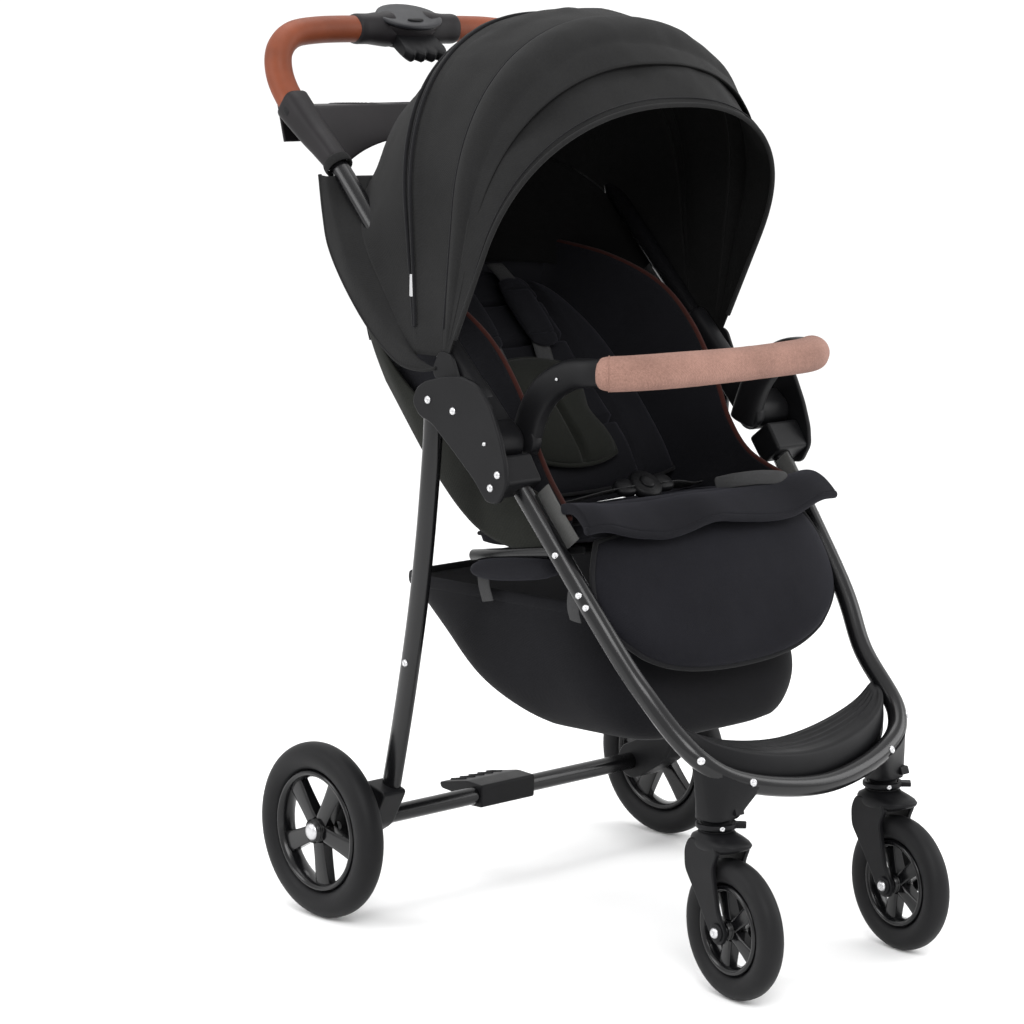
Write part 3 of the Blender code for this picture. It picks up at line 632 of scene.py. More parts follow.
def wheel(tag, M, R, sec, hw, hub_r, hub_w, bore, body, tyre_node, rim_node, spokes=5):
    """Foam tyre, rim with flat spokes and a ribbed hub; the wheel axis is local Z."""
    ri = R - 2 * sec
    prof = []
    for k in range(40):
        a = -2 * math.pi * k / 40
        c, sn = math.cos(a), math.sin(a)
        # flatter tread, fuller shoulders
        rr = sec * math.copysign(abs(c) ** 0.86, c)
        zz = sec * math.copysign(abs(sn) ** 0.92, sn)
        prof.append((R - sec + rr, zz))
    t = revolve(tag + "_tyre", prof, M, 96)
    done(t, body, TYRE, tyre_node)
    w = hw
    rp = [(ri + 0.0008, w * 0.86), (ri + 0.0008, -w * 0.86), (ri - 0.0015, -w), (ri - 0.0040, -w), (ri - 0.0062, -w * 0.80),
          (ri - 0.0085, -0.0035), (ri - 0.0085, 0.0035), (ri - 0.0062, w * 0.80), (ri - 0.0040, w), (ri - 0.0015, w)]
    rm = revolve(tag + "_rim", rp, M, 96)
    done(rm, body, RIM, rim_node)
    hp = [(bore, -hub_w), (hub_r * 0.72, -hub_w), (hub_r * 0.80, -hub_w + 0.001)]
    z = -hub_w + 0.001
    for k in range(4):
        hp += [(hub_r * 0.80, z + 0.0012), (hub_r * 0.92, z + 0.0014), (hub_r * 0.92, z + 0.0026), (hub_r * 0.80, z + 0.0028)]
        z += 0.0028
    hp += [(hub_r, z + 0.0005), (hub_r, 0.006), (hub_r * 0.85, hub_w - 0.001), (hub_r * 0.72, hub_w), (bore, hub_w)]
    done(revolve(tag + "_hub", hp, M, 64), body, RIM)
    for k in range(spokes):
        a = 2 * math.pi * (k + 0.2) / spokes
        S = M @ Matrix.Rotation(a, 4, "Z")
        r0, r1 = hub_r * 0.85, ri - 0.0055
        w0, w1 = hub_r * 0.62, hub_r * 0.86
        V, F = [], []
        for q in range(9):
            f = q / 8
            r = r0 + (r1 - r0) * f
            ww = w0 + (w1 - w0) * f * f
            zt = 0.0052 + 0.002 * (1 - f)
            V += [S @ Vector((r, -ww, -zt)), S @ Vector((r, -ww * 0.55, -zt - 0.0016)), S @ Vector((r, ww * 0.55, -zt - 0.0016)),
                  S @ Vector((r, ww, -zt)), S @ Vector((r, ww, zt)), S @ Vector((r, -ww, zt))]
        for q in range(8):
            for j in range(6):
                F.append((q * 6 + j, q * 6 + (j + 1) % 6, (q + 1) * 6 + (j + 1) % 6, (q + 1) * 6 + j))
        F += [tuple(range(6)), tuple(48 + j for j in reversed(range(6)))]
        done(bevelled(obj("%s_spoke_%d" % (tag, k), V, F), 0.0010, 2, 25), body, RIM)


TO_X = Matrix.Rotation(math.radians(90), 4, "Y")
for side, s in SIDES:
    E = Matrix.Translation((s * 0.138, 0, 0)) @ Matrix.Rotation(math.radians(-9.0), 4, "Z")
    wheel("fwheel_" + side, E @ Matrix.Translation((0, -0.035, 0.079)) @ TO_X, 0.079, 0.0145, 0.0118, 0.0120, 0.0145, 0.0046,
          "front_wheel_" + side, "front_tyre_" + side, "front_rim_" + side)
    wheel("rwheel_" + side, Matrix.Translation((s * 0.288, 0.515, 0.107)) @ TO_X @ Matrix.Rotation(0.3 if s > 0 else 0.9, 4, "Z"),
          0.107, 0.0170, 0.0130, 0.0160, 0.0160, 0.0062,
          "rear_wheel_" + side, "rear_tyre_" + side, "rear_rim_" + side)

# ---------------------------------------------------------------- rear frame
leg_pts = [(0.3632, 0.653), (0.366, 0.600), (0.370, 0.560), (0.380, 0.480), (0.393, 0.400), (0.407, 0.330), (0.425, 0.250),
           (0.448, 0.158)]
bracket = round_outline([(0.426, 0.163), (0.468, 0.172), (0.500, 0.140), (0.532, 0.125), (0.541, 0.107), (0.531, 0.089),
                         (0.515, 0.083), (0.497, 0.089), (0.453, 0.116)], 0.008)
for side, s in SIDES:
    path = catmull([(s * 0.236, y, z) for y, z in leg_pts], 6)
    done(sweep("rear_leg_v_" + side, path, (0.0135, 0.0085), 28, up=(1, 0, 0), power=2.3), "rear_frame", TUBE, "rear_leg_" + side)
    a, b = sorted((s * 0.2272, s * 0.262))
    done(prism("axle_bracket_v_" + side, bracket, a, b, bevel=0.003), "rear_frame", PLASTIC, "axle_bracket_" + side)
    rivet("leg_rivet_" + side, (s * 0.2445, 0.4085, 0.322), (s, 0, 0), "rear_frame", r=0.0045)
    done(revolve("hub_cap_" + side, [(0.0, 0.0), (0.0105, 0.0), (0.0105, 0.0020), (0.0085, 0.0040), (0.004, 0.0050), (0.0, 0.0052)],
                 Matrix.Translation((s * 0.3025, 0.515, 0.107)) @ (TO_X if s > 0 else Matrix.Rotation(math.radians(-90), 4, "Y")), 32, closed=False),
         "rear_frame", STEEL)
done(sweep("rear_axle_v", [(-0.302, 0.515, 0.107), (0.302, 0.515, 0.107)], 0.0055, 20, up=(0, 0, 1)), "rear_frame", STEEL, "rear_axle")
done(sweep("rear_axle_tube_v", [(x, 0.515, 0.107) for x in np.linspace(-0.2285, 0.2285, 9)], 0.0110, 24, up=(0, 0, 1)), "rear_frame", TUBE, "rear_axle_tube")
ped = round_outline([(0.501, 0.093), (0.530, 0.092), (0.536, 0.101), (0.580, 0.1045), (0.583, 0.112), (0.560, 0.117), (0.531, 0.123), (0.500, 0.122)], 0.004)
done(prism("brake_pedal_v", ped, -0.045, 0.045, bevel=0.0025), "brake_pedal", PLASTIC, "brake_pedal")
for k in range(5):
    x = -0.030 + 0.015 * k
    done(sweep("pedal_rib_%d" % k, [(x, 0.548, 0.1196), (x, 0.562, 0.1172), (x, 0.576, 0.1140)], 0.0016, 8), "brake_pedal", PLASTIC)

# ---------------------------------------------------------------- hinges
H = Vector((0.276, 0.594))
T0 = Vector((0.241, 0.547))
d = (H - T0).normalized()
nr = Vector((d.y, -d.x))
u = Vector((math.cos(math.radians(45.6)), math.sin(math.radians(45.6))))
n2 = Vector((u.y, -u.x))


def yz(p):
    return (p.x, p.y)


for side, s in SIDES:
    # lower housing: tube socket, then the outer cheek that carries both pivots
    blk = round_outline([yz(T0 - d * 0.004 - nr * 0.0185), yz(T0 - d * 0.006 + nr * 0.013), yz(T0 + d * 0.006 + nr * 0.018),
                         yz(T0 + d * 0.0335 + nr * 0.018), yz(T0 + d * 0.0335 - nr * 0.0200)], 0.005)
    a, b = sorted((s * 0.1938, s * 0.2465))
    done(prism("lower_hinge_block_" + side, blk, a, b, bevel=0.0042, segs=4), "front_frame", PLASTIC, "lower_hinge_" + side)
    chk = round_outline([(0.2225, 0.5545), (0.236, 0.532), (0.2565, 0.531), (0.2800, 0.556), (0.316, 0.585), (0.352, 0.612),
                         (0.374, 0.619), (0.386, 0.634), (0.379, 0.651), (0.364, 0.6600), (0.332, 0.668), (0.300, 0.671), (0.272, 0.664),
                         (0.250, 0.640), (0.234, 0.607), (0.2245, 0.578)], 0.007)
    a, b = sorted((s * 0.2449, s * 0.2515))
    done(prism("hinge_cheek_" + side, chk, a, b, bevel=0.0024, segs=3), "front_frame", PLASTIC)
    # upper housing and its long sleeve over the handle tube
    th = [yz(H + u * 0.020 + n2 * 0.0188), yz(H + u * 0.020 - n2 * 0.0188)]
    for k in range(13):
        a = math.radians(90 + 15 * k)
        th.append(yz(H + u * (0.0212 * math.cos(a)) - n2 * (0.0212 * math.sin(a))))
    a, b = sorted((s * 0.1938, s * 0.2443))
    done(prism("upper_hinge_knuckle_" + side, th, a, b, bevel=0.0030, segs=4), "upper_frame", PLASTIC, "upper_hinge_" + side)
    th = round_outline([yz(H + u * 0.002 + n2 * 0.0184), yz(H + u * 0.076 + n2 * 0.0170), yz(H + u * 0.084 - n2 * 0.0150), yz(H + u * 0.002 - n2 * 0.0184)], 0.006)
    a, b = sorted((s * 0.1940, s * 0.2260))
    done(prism("upper_hinge_block_" + side, th, a, b, bevel=0.0045, segs=4), "upper_frame", PLASTIC)
    p0 = H + u * 0.055
    p1 = H + u * 0.153
    done(sweep("hinge_sleeve_" + side, [(s * 0.207, yz(p0)[0] + (p1 - p0).x * t, yz(p0)[1] + (p1 - p0).y * t) for t in np.linspace(0, 1, 8)],
               lambda t: (0.0172 - 0.002 * t, 0.0136 - 0.0008 * t), 28, up=(1, 0, 0), power=3.0), "upper_frame", PLASTIC)
    for k, (y, z, r) in enumerate(((0.357, 0.639, 0.0048), (0.313, 0.630, 0.0046), (0.2310 + 0.006, 0.565, 0.0046), (0.249, 0.549, 0.0046),
                                   (0.2585, 0.598, 0.0026))):
        rivet("hinge_rivet_%s_%d" % (side, k), (s * 0.2513, y, z), (s, 0, 0), "front_frame", r=r)
    # seat rail and its rivets
    done(sweep("seat_rail_v_" + side, [(s * 0.186, 0.352, 0.4515), (s * 0.186, 0.278, 0.463), (s * 0.187, 0.196, 0.476)], 0.0072, 20),
         "front_frame", TUBE, "seat_rail_" + side)
    for k, z in enumerate((0.478, 0.436, 0.4235)):
        up_ = [p for p in tube_path if p.x > 0 and p.z > 0.3]
        p = min(up_, key=lambda q: abs(q.z - z))
        dv = Vector((s * 0.80, -0.56, -0.20)).normalized()
        rivet("tube_rivet_%s_%d" % (side, k), Vector((s * p.x, p.y, p.z)) + dv * 0.0113, dv, "front_frame", r=0.0042)

# ---------------------------------------------------------------- handle
h0 = H + u * 0.140
handle_half = [(0.207, h0.x, h0.y), (0.207, 0.480, 0.802), (0.207, 0.574, 0.898), (0.207, 0.622, 0.936), (0.2075, 0.660, 0.968),
               (0.209, 0.682, 1.000), (0.203, 0.692, 1.030), (0.180, 0.697, 1.050), (0.140, 0.6985, 1.0565), (0.076, 0.699, 1.058),
               (0.0, 0.699, 1.058)]
hp = catmull(both(handle_half), 10)
done(sweep("handle_tube_v", hp, 0.0115, 24), "upper_frame", TUBE, "handle_tube")
for side, s in SIDES:
    seg_pts = hp if s > 0 else list(reversed(hp))
    g = seg_pts[38:91]
    done(sweep("handle_grip_v_" + side, g, lambda t: (0.0166 + 0.0006 * math.sin(t * math.pi), 0.0166), 28), "upper_frame", GRIP, "handle_grip_" + side)
    done(sweep("grip_seam_" + side, [p + (Vector((0, 0.25, -0.97)) * 0.0163) for p in g[22:]], 0.0008, 8), "upper_frame", GRIP)
    c = seg_pts[38]
    dd = (seg_pts[38] - seg_pts[36]).normalized()
    done(sweep("grip_collar_" + side, [c - dd * 0.006, c + dd * 0.003], 0.0176, 28), "upper_frame", PLASTIC)
HM = Matrix.Translation((0, 0.699, 1.058)) @ Matrix.Rotation(math.radians(30), 4, "X")
# necks over the tube and the round body between them
for side, s in SIDES:
    a = [HM @ Vector((s * x, 0, 0)) for x in np.linspace(0.030, 0.0765, 8)]
    done(sweep("housing_neck_" + side, a, lambda t: 0.0225 - 0.0035 * min(1, 1.6 * t), 32, up=(0, 0, 1), power=2.4), "upper_frame", TRAYP,
         ("housing_top",) if s > 0 else ("housing_bottom",))


def stack(name, rows, M, seg=64, pw=2.0):
    V, F = [], []
    for z, hx, hy, yc in rows:
        for k in range(seg):
            a = 2 * math.pi * k / seg
            c, sn = math.cos(a), math.sin(a)
            V.append(M @ Vector((hx * math.copysign(abs(c) ** (2 / pw), c), yc + hy * math.copysign(abs(sn) ** (2 / pw), sn), z)))
    m = len(rows)
    for i in range(m - 1):
        for k in range(seg):
            F.append((i * seg + k, i * seg + (k + 1) % seg, (i + 1) * seg + (k + 1) % seg, (i + 1) * seg + k))
    F += [tuple(range(seg)), tuple((m - 1) * seg + k for k in reversed(range(seg)))]
    return obj(name, V, F)


done(stack("housing_bowl", [(-0.0200, 0.022, 0.012, 0.0), (-0.0185, 0.034, 0.0185, 0.0), (-0.010, 0.0420, 0.0230, -0.001), (0.002, 0.0460, 0.0258, -0.002),
                            (0.0125, 0.0475, 0.0275, -0.002), (0.0150, 0.0460, 0.0265, -0.002)], HM), "upper_frame", TRAYP)
done(stack("housing_disc", [(0.0150, 0.0455, 0.0262, -0.002), (0.0158, 0.0488, 0.0292, -0.002), (0.0178, 0.0500, 0.0302, -0.002), (0.0198, 0.0492, 0.0296, -0.002),
                            (0.0208, 0.0470, 0.0280, -0.002), (0.0206, 0.0400, 0.0225, -0.002), (0.0212, 0.0200, 0.0110, -0.002), (0.0214, 0.004, 0.002, -0.002)], HM),
     "upper_frame", DISC)
# a plain thumb button on the disc
done(stack("disc_button", [(0.0205, 0.0130, 0.0042, -0.015), (0.0222, 0.0125, 0.0038, -0.015), (0.0230, 0.0105, 0.0028, -0.015)], HM), "upper_frame", PLASTIC)
# squeeze lever with finger scallops along its lower edge
V, F = [], []
NX = 60
for i in range(NX + 1):
    x = -0.034 + 0.068 * i / NX
    e = abs(x) / 0.034
    low = -0.0590 + 0.0030 * math.cos(x / 0.034 * math.pi * 4.0) + 0.004 * e ** 6
    wx = 0.86 + 0.14 * 1
    rows = [(-0.0215, 0.0055), (-0.034, 0.0045), (-0.046, 0.0020), (low + 0.003, 0.0000), (low, -0.0030), (low, -0.0105), (low + 0.003, -0.0140),
            (-0.042, -0.0150), (-0.0215, -0.0150)]
    for y, z in rows:
        xx = x * (0.88 + 0.12 * min(1.0, max(0.0, (-y - 0.0215) / 0.03)))
        V.append(HM @ Vector((xx, y, z * (1 - 0.25 * e ** 8))))
m = 9
for i in range(NX):
    for k in range(m):
        F.append((i * m + k, i * m + (k + 1) % m, (i + 1) * m + (k + 1) % m, (i + 1) * m + k))
F += [tuple(range(m)), tuple(NX * m + k for k in reversed(range(m)))]
done(bevelled(obj("fold_trigger_v", V, F), 0.0012, 2, 50), "fold_trigger", PLASTIC, "fold_trigger")

# console: side cheeks along the tubes and a shelf with two cup wells and a pocket
for side, s in SIDES:
    rings = []
    m = 24
    ys = np.linspace(0, 1, 14)
    P = catmull([(0.207, 0.578, 0.902), (0.207, 0.600, 0.9195), (0.207, 0.622, 0.936), (0.2075, 0.6600, 0.9680)], 5)
    o = sweep("tray_cheek_" + side, [(s * p.x, p.y, p.z) for p in P],
              lambda t: (0.0132 + 0.0075 * t, 0.0135 + 0.004 * t), 28, up=(1, 0, 0), power=3.2)
    done(o, "upper_frame", TRAYP)
V, F = [], []
NX, NY = 120, 40


def console(x, v):
    """v runs 0..1 from the front lower edge over the top to the rear lower edge."""
    e = (abs(x) / 0.199)
    arch = 0.040 * (1 - e ** 3)                   # the lower edge rises in the middle
    zf = 0.889 + arch
    yf = 0.5800 + 0.028 * (1 - e ** 3)
    zt = 0.9665
    if v < 0.22:
        t = v / 0.22
        y, z = yf + (0.632 - yf) * t ** 1.3, zf + (zt - zf) * t
    elif v < 0.80:
        t = (v - 0.22) / 0.58
        y, z = 0.632 + 0.070 * t, zt + 0.0
    else:
        t = (v - 0.80) / 0.20
        y, z = 0.702 - 0.012 * t, zt - 0.045 * t
    well = 0.0
    for cx in (-0.105, 0.105):
        r = math.hypot(x - cx, y - 0.667)
        well = max(well, min(1.0, max(0.0, (0.0290 - r) / 0.0028)))
    px = max(0.0, min(1.0, (0.052 - abs(x)) / 0.003)) * max(0.0, min(1.0, (0.021 - abs(y - 0.6655)) / 0.003))
    well = max(well, px)
    if 0.22 <= v < 0.80:
        z -= 0.032 * well
        rimr = 0.0
        for cx in (-0.105, 0.105):
            r = math.hypot(x - cx, y - 0.667)
            rimr = max(rimr, math.exp(-((r - 0.0312) / 0.0018) ** 2))
        z += 0.0012 * rimr
    return Vector((x, y, z))


def console_fn(i, j):
    vs = j * 1.0
    return console(-0.199 + 0.398 * i, vs)


o = sheet_grid("tray_shell", console_fn, 150, 110, 0.0030, mats=1, offset=-1)
done(o, "upper_frame", TRAYP, "parent_tray")

# ---------------------------------------------------------------- canopy
CAN_R = [(40.0, 0.300), (46.0, 0.330), (57.0, 0.382), (67.5, 0.412), (82.0, 0.426), (97.0, 0.404), (106.0, 0.378), (118.0, 0.335)]
CN, CS, CQ, CX_ = 2.3, 0.45, 0.30, 0.2235
CC = (0.362, 0.668)


def can_R(deg):
    for (a, ra), (b, rb) in zip(CAN_R, CAN_R[1:]):
        if a <= deg <= b:
            t = (deg - a) / (b - a)
            return ra + (rb - ra) * t
    return CAN_R[-1][1] if deg > 60 else CAN_R[0][1]


def can_smooth(deg):
    return sum(can_R(min(118, max(40, deg + k))) for k in (-4, -2, 0, 2, 4)) / 5


def can(deg, t, out=0.0, r0=0.018):
    R = can_smooth(deg) + out
    q = 2 * min(t, 1 - t)
    side_r = R * CS
    if q < CQ:
        x, r = CX_, r0 + (side_r - r0) * q / CQ
    else:
        th = (q - CQ) / (1 - CQ) * math.pi / 2
        x = max(0.0, math.cos(th)) ** (2 / CN) * CX_
        r = side_r + (R - side_r) * math.sin(th) ** (2 / CN)
    x = x + out * (1 if q < CQ else max(0.0, math.cos((q - CQ) / (1 - CQ) * math.pi / 2)))
    x = x if t < 0.5 else -x
    lean = 11.0 * math.exp(-((deg - 68.0) / 11.5) ** 2)
    a = math.radians(deg + lean)
    back = 0.045 * max(0.0, min(1.0, (98.0 - deg) / 26.0)) * (1 - min(1.0, r / R)) ** 1.2
    return Vector((x, CC[0] + back + r * math.cos(a), CC[1] + r * math.sin(a)))


def panel(name, a0, a1, nu, body, rep=(), blend=None, sag=0.009, seed=1.0, nt=160, r0=0.018, extra=None, thick=0.0022):
    def fn(i, j):
        deg = a0 + (a1 - a0) * i
        q = 2 * min(j, 1 - j)
        s_ = math.sin(math.pi * i)
        o = -sag * s_ * min(1.0, q * 1.6)
        p = can(deg, j, o, r0)
        w = s_ * min(1.0, q * 2.5)
        nrm = Vector((0, math.cos(math.radians(deg)), math.sin(math.radians(deg))))
        p += nrm * (w * (wob(p, 8, 0.0085, seed) + wob(p, 21, 0.0034, seed + 3) + wob(p, 46, 0.0013, seed + 6)))
        p.x += w * wob(p, 11, 0.0045, seed + 9) * (1 if p.x > 0 else -1)
        if extra:
            p = extra(p, i, j, deg)
        return p
    o = sheet_grid(name, fn, nu, nt, thick)
    # the inward faces get the darker cloth copy, painted shade inside the canopy
    done(o, None if blend else body, [CANOPY, CANOPY_SHADE_COPY], rep, blend)
    return sheet_of(o)


def cpt(deg, r):
    a = math.radians(deg)
    return (0.0, CC[0] + r * math.cos(a), CC[1] + r * math.sin(a))


def seam(name, deg, out, r, body, mat, t0=0.03, t1=0.97, r0=0.018, n=140):
    pts = [can(deg, t0 + (t1 - t0) * k / n, out, r0) for k in range(n + 1)]
    return done(sweep(name, pts, r, 8, up=(0, 0, 1)), body, mat)


panel("canopy_rear_v", 47.0, 66.4, 16, None, "canopy_rear_panel", ("upper_frame", "canopy_mid", cpt(50.0, 0.2), cpt(75.0, 0.2)), seed=1.0)
# zip band between the two rear panels, with two pipings
panel("canopy_zip_band", 66.2, 69.2, 4, "canopy_mid", ("canopy_bow",), sag=-0.0005, seed=2.0)
seam("canopy_piping_a", 66.3, 0.0022, 0.0024, "canopy_mid", BLACKPIPE)
seam("canopy_piping_b", 69.2, 0.0022, 0.0024, "canopy_mid", BLACKPIPE)
seam("canopy_zip", 67.7, 0.0012, 0.0014, "canopy_mid", BLACKPIPE)
panel("canopy_mid_v", 69.0, 96.2, 24, None, "canopy_mid_panel", ("canopy_mid", "canopy_front", cpt(82.0, 0.2), cpt(97.0, 0.2)), seed=4.0)


def roll(p, i, j, deg):
    """The front bow's padded roll."""
    b = math.sin(math.pi * min(1.0, i / 0.62)) if i < 0.62 else 0.0
    q = min(1.0, 2 * min(j, 1 - j) * 3)
    n_ = Vector((p.x * 0.8, p.y - CC[0], p.z - CC[1])).normalized()
    return p + n_ * (0.0085 * b ** 0.7 * q)


panel("canopy_front_v", 96.0, 108.5, 22, "canopy_front", "canopy_front_panel", sag=-0.001, seed=6.0, extra=roll)
seam("canopy_front_seam", 96.1, 0.0018, 0.0016, "canopy_front", BLACKPIPE)


def visor(p, i, j, deg):
    q = 2 * min(j, 1 - j)
    n_ = Vector((0, p.y - CC[0], p.z - CC[1])).normalized()
    return p - n_ * (0.010 * (1 - i) * min(1.0, q * 2)) + Vector((0, 0, 0.0))


panel("canopy_visor_v", 104.0, 117.0, 14, "canopy_front", (), sag=0.0, seed=8.0, extra=visor)
seam("visor_hem", 117.0, 0.0, 0.0030, "canopy_front", CANOPY)
seam("visor_stitch", 115.6, 0.0014, 0.0008, "canopy_front", BLACKPIPE)

# near-black sheet from the canopy's rear edge down to the top of the backrest: painted shade under the canopy, dark
# cloth on both faces


def shade_sheet(i, j):
    t = 0.13 + 0.74 * j
    A = can(47.6, t, -0.004)
    f = math.pi * j
    B = Vector((0.192 * math.copysign(abs(math.cos(f)) ** 0.7, math.cos(f)), 0.470 + 0.152 * math.sin(f) ** 0.8, 0.748 + 0.018 * math.sin(f)))
    p = A.lerp(B, i)
    w = math.sin(math.pi * i)
    p.y += w * (0.012 * math.sin(f) + 0.004 * math.sin(j * 31) * i)
    return p + Vector((0, 1, 0)) * (w * wob(p, 14, 0.005, 21.0))


o = sheet_grid("canopy_shade_sheet", shade_sheet, 22, 90, 0.0018)
done(o, None, [CANOPY_SHADE_COPY, CANOPY_SHADE_COPY], blend=("front_frame", "upper_frame", (0, 0.600, 0.780), (0, 0.590, 0.895)))
sheet_of(o)

# the backrest's own top edge of cloth, standing up behind the pad


def back_top(i, j):
    f = 2 * j - 1
    y = 0.300 + 0.150 * i * (1 - 0.45 * abs(f) ** 3) + 0.004 * math.sin(j * 19) * i
    x = f * (0.160 - 0.012 * i)
    z = 0.0010 + 0.020 * i * i + 0.020 * abs(f) ** 3 * i
    return Matrix.Translation((0, 0.365, 0.470)) @ Matrix.Rotation(math.radians(45.6), 4, "X") @ Vector((x, y, z))


o = sheet_grid("backrest_top_cloth", back_top, 16, 40, 0.002, mats=1)
done(o, "backrest", SEAT)
sheet_of(o)

# side flaps of the rear panel below the handle tubes
low_edge = [(0.584, 0.886), (0.577, 0.840), (0.566, 0.800), (0.533, 0.752), (0.486, 0.704), (0.440, 0.674), (0.400, 0.668), (0.372, 0.672)]
for side, s in SIDES:
    lo = catmull([(0, y, z) for y, z in low_edge], 6)
    n = len(lo)

    def fn(i, j, s=s, lo=lo, n=n):
        k = j * (n - 1)
        a, b = int(min(k, n - 2)), k - int(min(k, n - 2))
        p = lo[a].lerp(lo[a + 1], b)
        top = can(47.6, 0.5 * 0.66 * (1 - j) ** 1.1, -0.002)
        r = Vector((top.x + (CX_ + 0.003 - top.x) * min(1.0, i * 2.2), top.y + (p.y - top.y) * i, top.z + (p.z - top.z) * i))
        w = math.sin(math.pi * min(1, i)) * math.sin(math.pi * j)
        x = r.x + 0.005 * w + wob(r, 18, 0.004, 3.0 + s) * w
        return Vector((s * x, r.y, r.z))
    o = sheet_grid("canopy_side_flap_" + side, fn, 18, 60, 0.0022)
    if s < 0:
        o.data.flip_normals()
    done(o, "upper_frame", [CANOPY, CANOPY])
    sheet_of(o)
    # hem along its lower edge
    hem = [fn(1.0, k / 60) for k in range(61)]
    done(sweep("canopy_flap_hem_" + side, hem, 0.0024, 10), "upper_frame", CANOPY)
    # clip tab at the pivot
    tab = round_outline([(0.326, 0.652), (0.352, 0.640), (0.380, 0.668), (0.366, 0.694), (0.344, 0.690)], 0.008)
    a, b = sorted((s * 0.2515, s * 0.2535))
    M = Matrix.Identity(4)
    done(prism("canopy_clip_" + side, tab, s * 0.2225, s * 0.2268, bevel=0.0016), "upper_frame", PLASTIC)
    # loop that ties the canopy to the handle tube
    c0 = Vector((s * 0.207, 0.574, 0.898))
    ring = [c0 + Vector((s * 0.0165 * math.cos(a), 0.0165 * math.sin(a) * 0.7, -0.0165 * math.sin(a) * 0.7)) for a in np.linspace(0, 2 * math.pi, 25)[:-1]]
    done(sweep("canopy_tie_" + side, ring, (0.0060, 0.0012), 12, closed=True), "upper_frame", CANOPY)
    rp = can(67.7, 0.075 if s > 0 else 0.925, 0.004)
    done(prism("zip_pull_" + side, round_outline([(rp.y - 0.003, rp.z - 0.016), (rp.y + 0.003, rp.z - 0.016), (rp.y + 0.0022, rp.z + 0.010), (rp.y - 0.0022, rp.z + 0.010)], 0.0015),
               s * 0.2262, s * 0.2282, bevel=0.0005), "canopy_mid", STEEL)

# ---------------------------------------------------------------- seat
BK = Matrix.Translation((0, 0.365, 0.470)) @ Matrix.Rotation(math.radians(45.6), 4, "X")


def back_outline(x, y, u_, v_):
    t = max(0.0, (y + 0.028 - 0.20) / 0.185)
    return x * (1 - 0.20 * t * t), y - 0.034 * (x / 0.165) ** 2 * t


def back_groove(x, y):
    g = 0.0
    for yy in (0.085, 0.15, 0.215, 0.28):
        g = max(g, math.exp(-((y - yy) / 0.0030) ** 2) * (1 if abs(x) < 0.10 else 0))
    for xx in (-0.100, 0.100):
        g = max(g, math.exp(-((x - xx) / 0.0035) ** 2))
    return g


def bk_post(p, u_, v_, layer):
    if layer > 0:
        p.z += 0.012 * (abs(p.x) / 0.165) ** 3
    return p


def pad_move(M, dz):
    return M @ Matrix.Translation((0, 0, dz))


o, e = pillow("backrest_pad_v", 0.168, 0.350, 0.026, 0.012, pad_move(BK @ Matrix.Translation((0, 0.028, 0)), 0.020), 64, 90, 0.22, back_outline, back_groove,
              edge=7, post=bk_post, seed=2.0)
done(o, "backrest", SEAT, "backrest_pad")
done(sweep("backrest_piping", e, 0.0026, 10, closed=True, up=(0, 0, 1)), "backrest", BLACKPIPE)
o, e = pillow("backrest_shell_v", 0.166, 0.358, 0.004, 0.010, pad_move(BK @ Matrix.Translation((0, 0.018, 0)), 0.010), 40, 60, 0.18, back_outline, None,
              edge=10, seed=4.0)
done(o, "backrest", SEAT, "backrest_board")


def ins_outline(x, y, u_, v_):
    w = 1.0 - 0.22 * math.exp(-((y - 0.075) / 0.03) ** 2)
    return x * w, y


def ins_groove(x, y):
    a = math.exp(-((x - 0.0 - (y - 0.04) * 0.0) / 0.0035) ** 2) * (1 if y < 0.10 else 0)
    b_ = math.exp(-((abs(x) - 0.040 - (y - 0.03) * 0.12) / 0.003) ** 2) * 0.0
    return max(a, b_)


o, e = pillow("seat_insert_v", 0.072, 0.165, 0.017, 0.004, pad_move(BK @ Matrix.Translation((0, 0.048, 0)), 0.0495), 44, 60, 0.55, ins_outline, ins_groove,
              edge=4, seed=7.0)
done(o, "backrest", INSERT, "seat_insert")
done(sweep("insert_piping", e, 0.0030, 10, closed=True, up=(0, 0, 1)), "backrest", INSERT)
# harness shoulder straps with their pads
for side, s in SIDES:
    def strap(i, j, s=s):
        y = 0.200 + 0.165 * i
        return BK @ Vector((s * (0.030 + 0.014 * math.sin(i * 1.5)) + s * (j - 0.5) * 0.026 + s * 0.006, y,
                            0.0500 + 0.012 * math.sin(math.pi * i) + 0.001 * math.sin(j * math.pi)))
    o = sheet_grid("shoulder_strap_v_" + side, strap, 30, 4, 0.0018, mats=1)
    done(o, "backrest", WEB, "shoulder_strap_" + side)
    sheet_of(o, 0.026)
    o, e = pillow("strap_pad_" + side, 0.024, 0.110, 0.007, 0.006,
                  BK @ Matrix.Translation((s * 0.046, 0.222, 0.0605)), 20, 40, 0.5, None,
                  lambda x, y: math.exp(-((y - 0.02) / 0.002) ** 2) + math.exp(-((y - 0.09) / 0.002) ** 2), edge=4, seed=9.0 + s)
    done(o, "backrest", SEAT)

SM = Matrix.Translation((0, 0.172, 0.474)) @ Matrix.Rotation(math.radians(-9.0), 4, "X")


def seat_post(p, u_, v_, layer):
    # rolled front edge that flares at its corners
    f = max(0.0, 1 - (p.y - 0.0) / 0.055)
    if layer > 0:
        p.z += 0.006 * math.sin(min(1, f) * math.pi * 0.6)
        p.z += 0.012 * (abs(p.x) / 0.19) ** 4
    return p


def seat_groove(x, y):
    return max(math.exp(-((y - 0.055) / 0.004) ** 2), 0.8 * math.exp(-((abs(x) - 0.115) / 0.0035) ** 2) * (1 if y > 0.055 else 0))


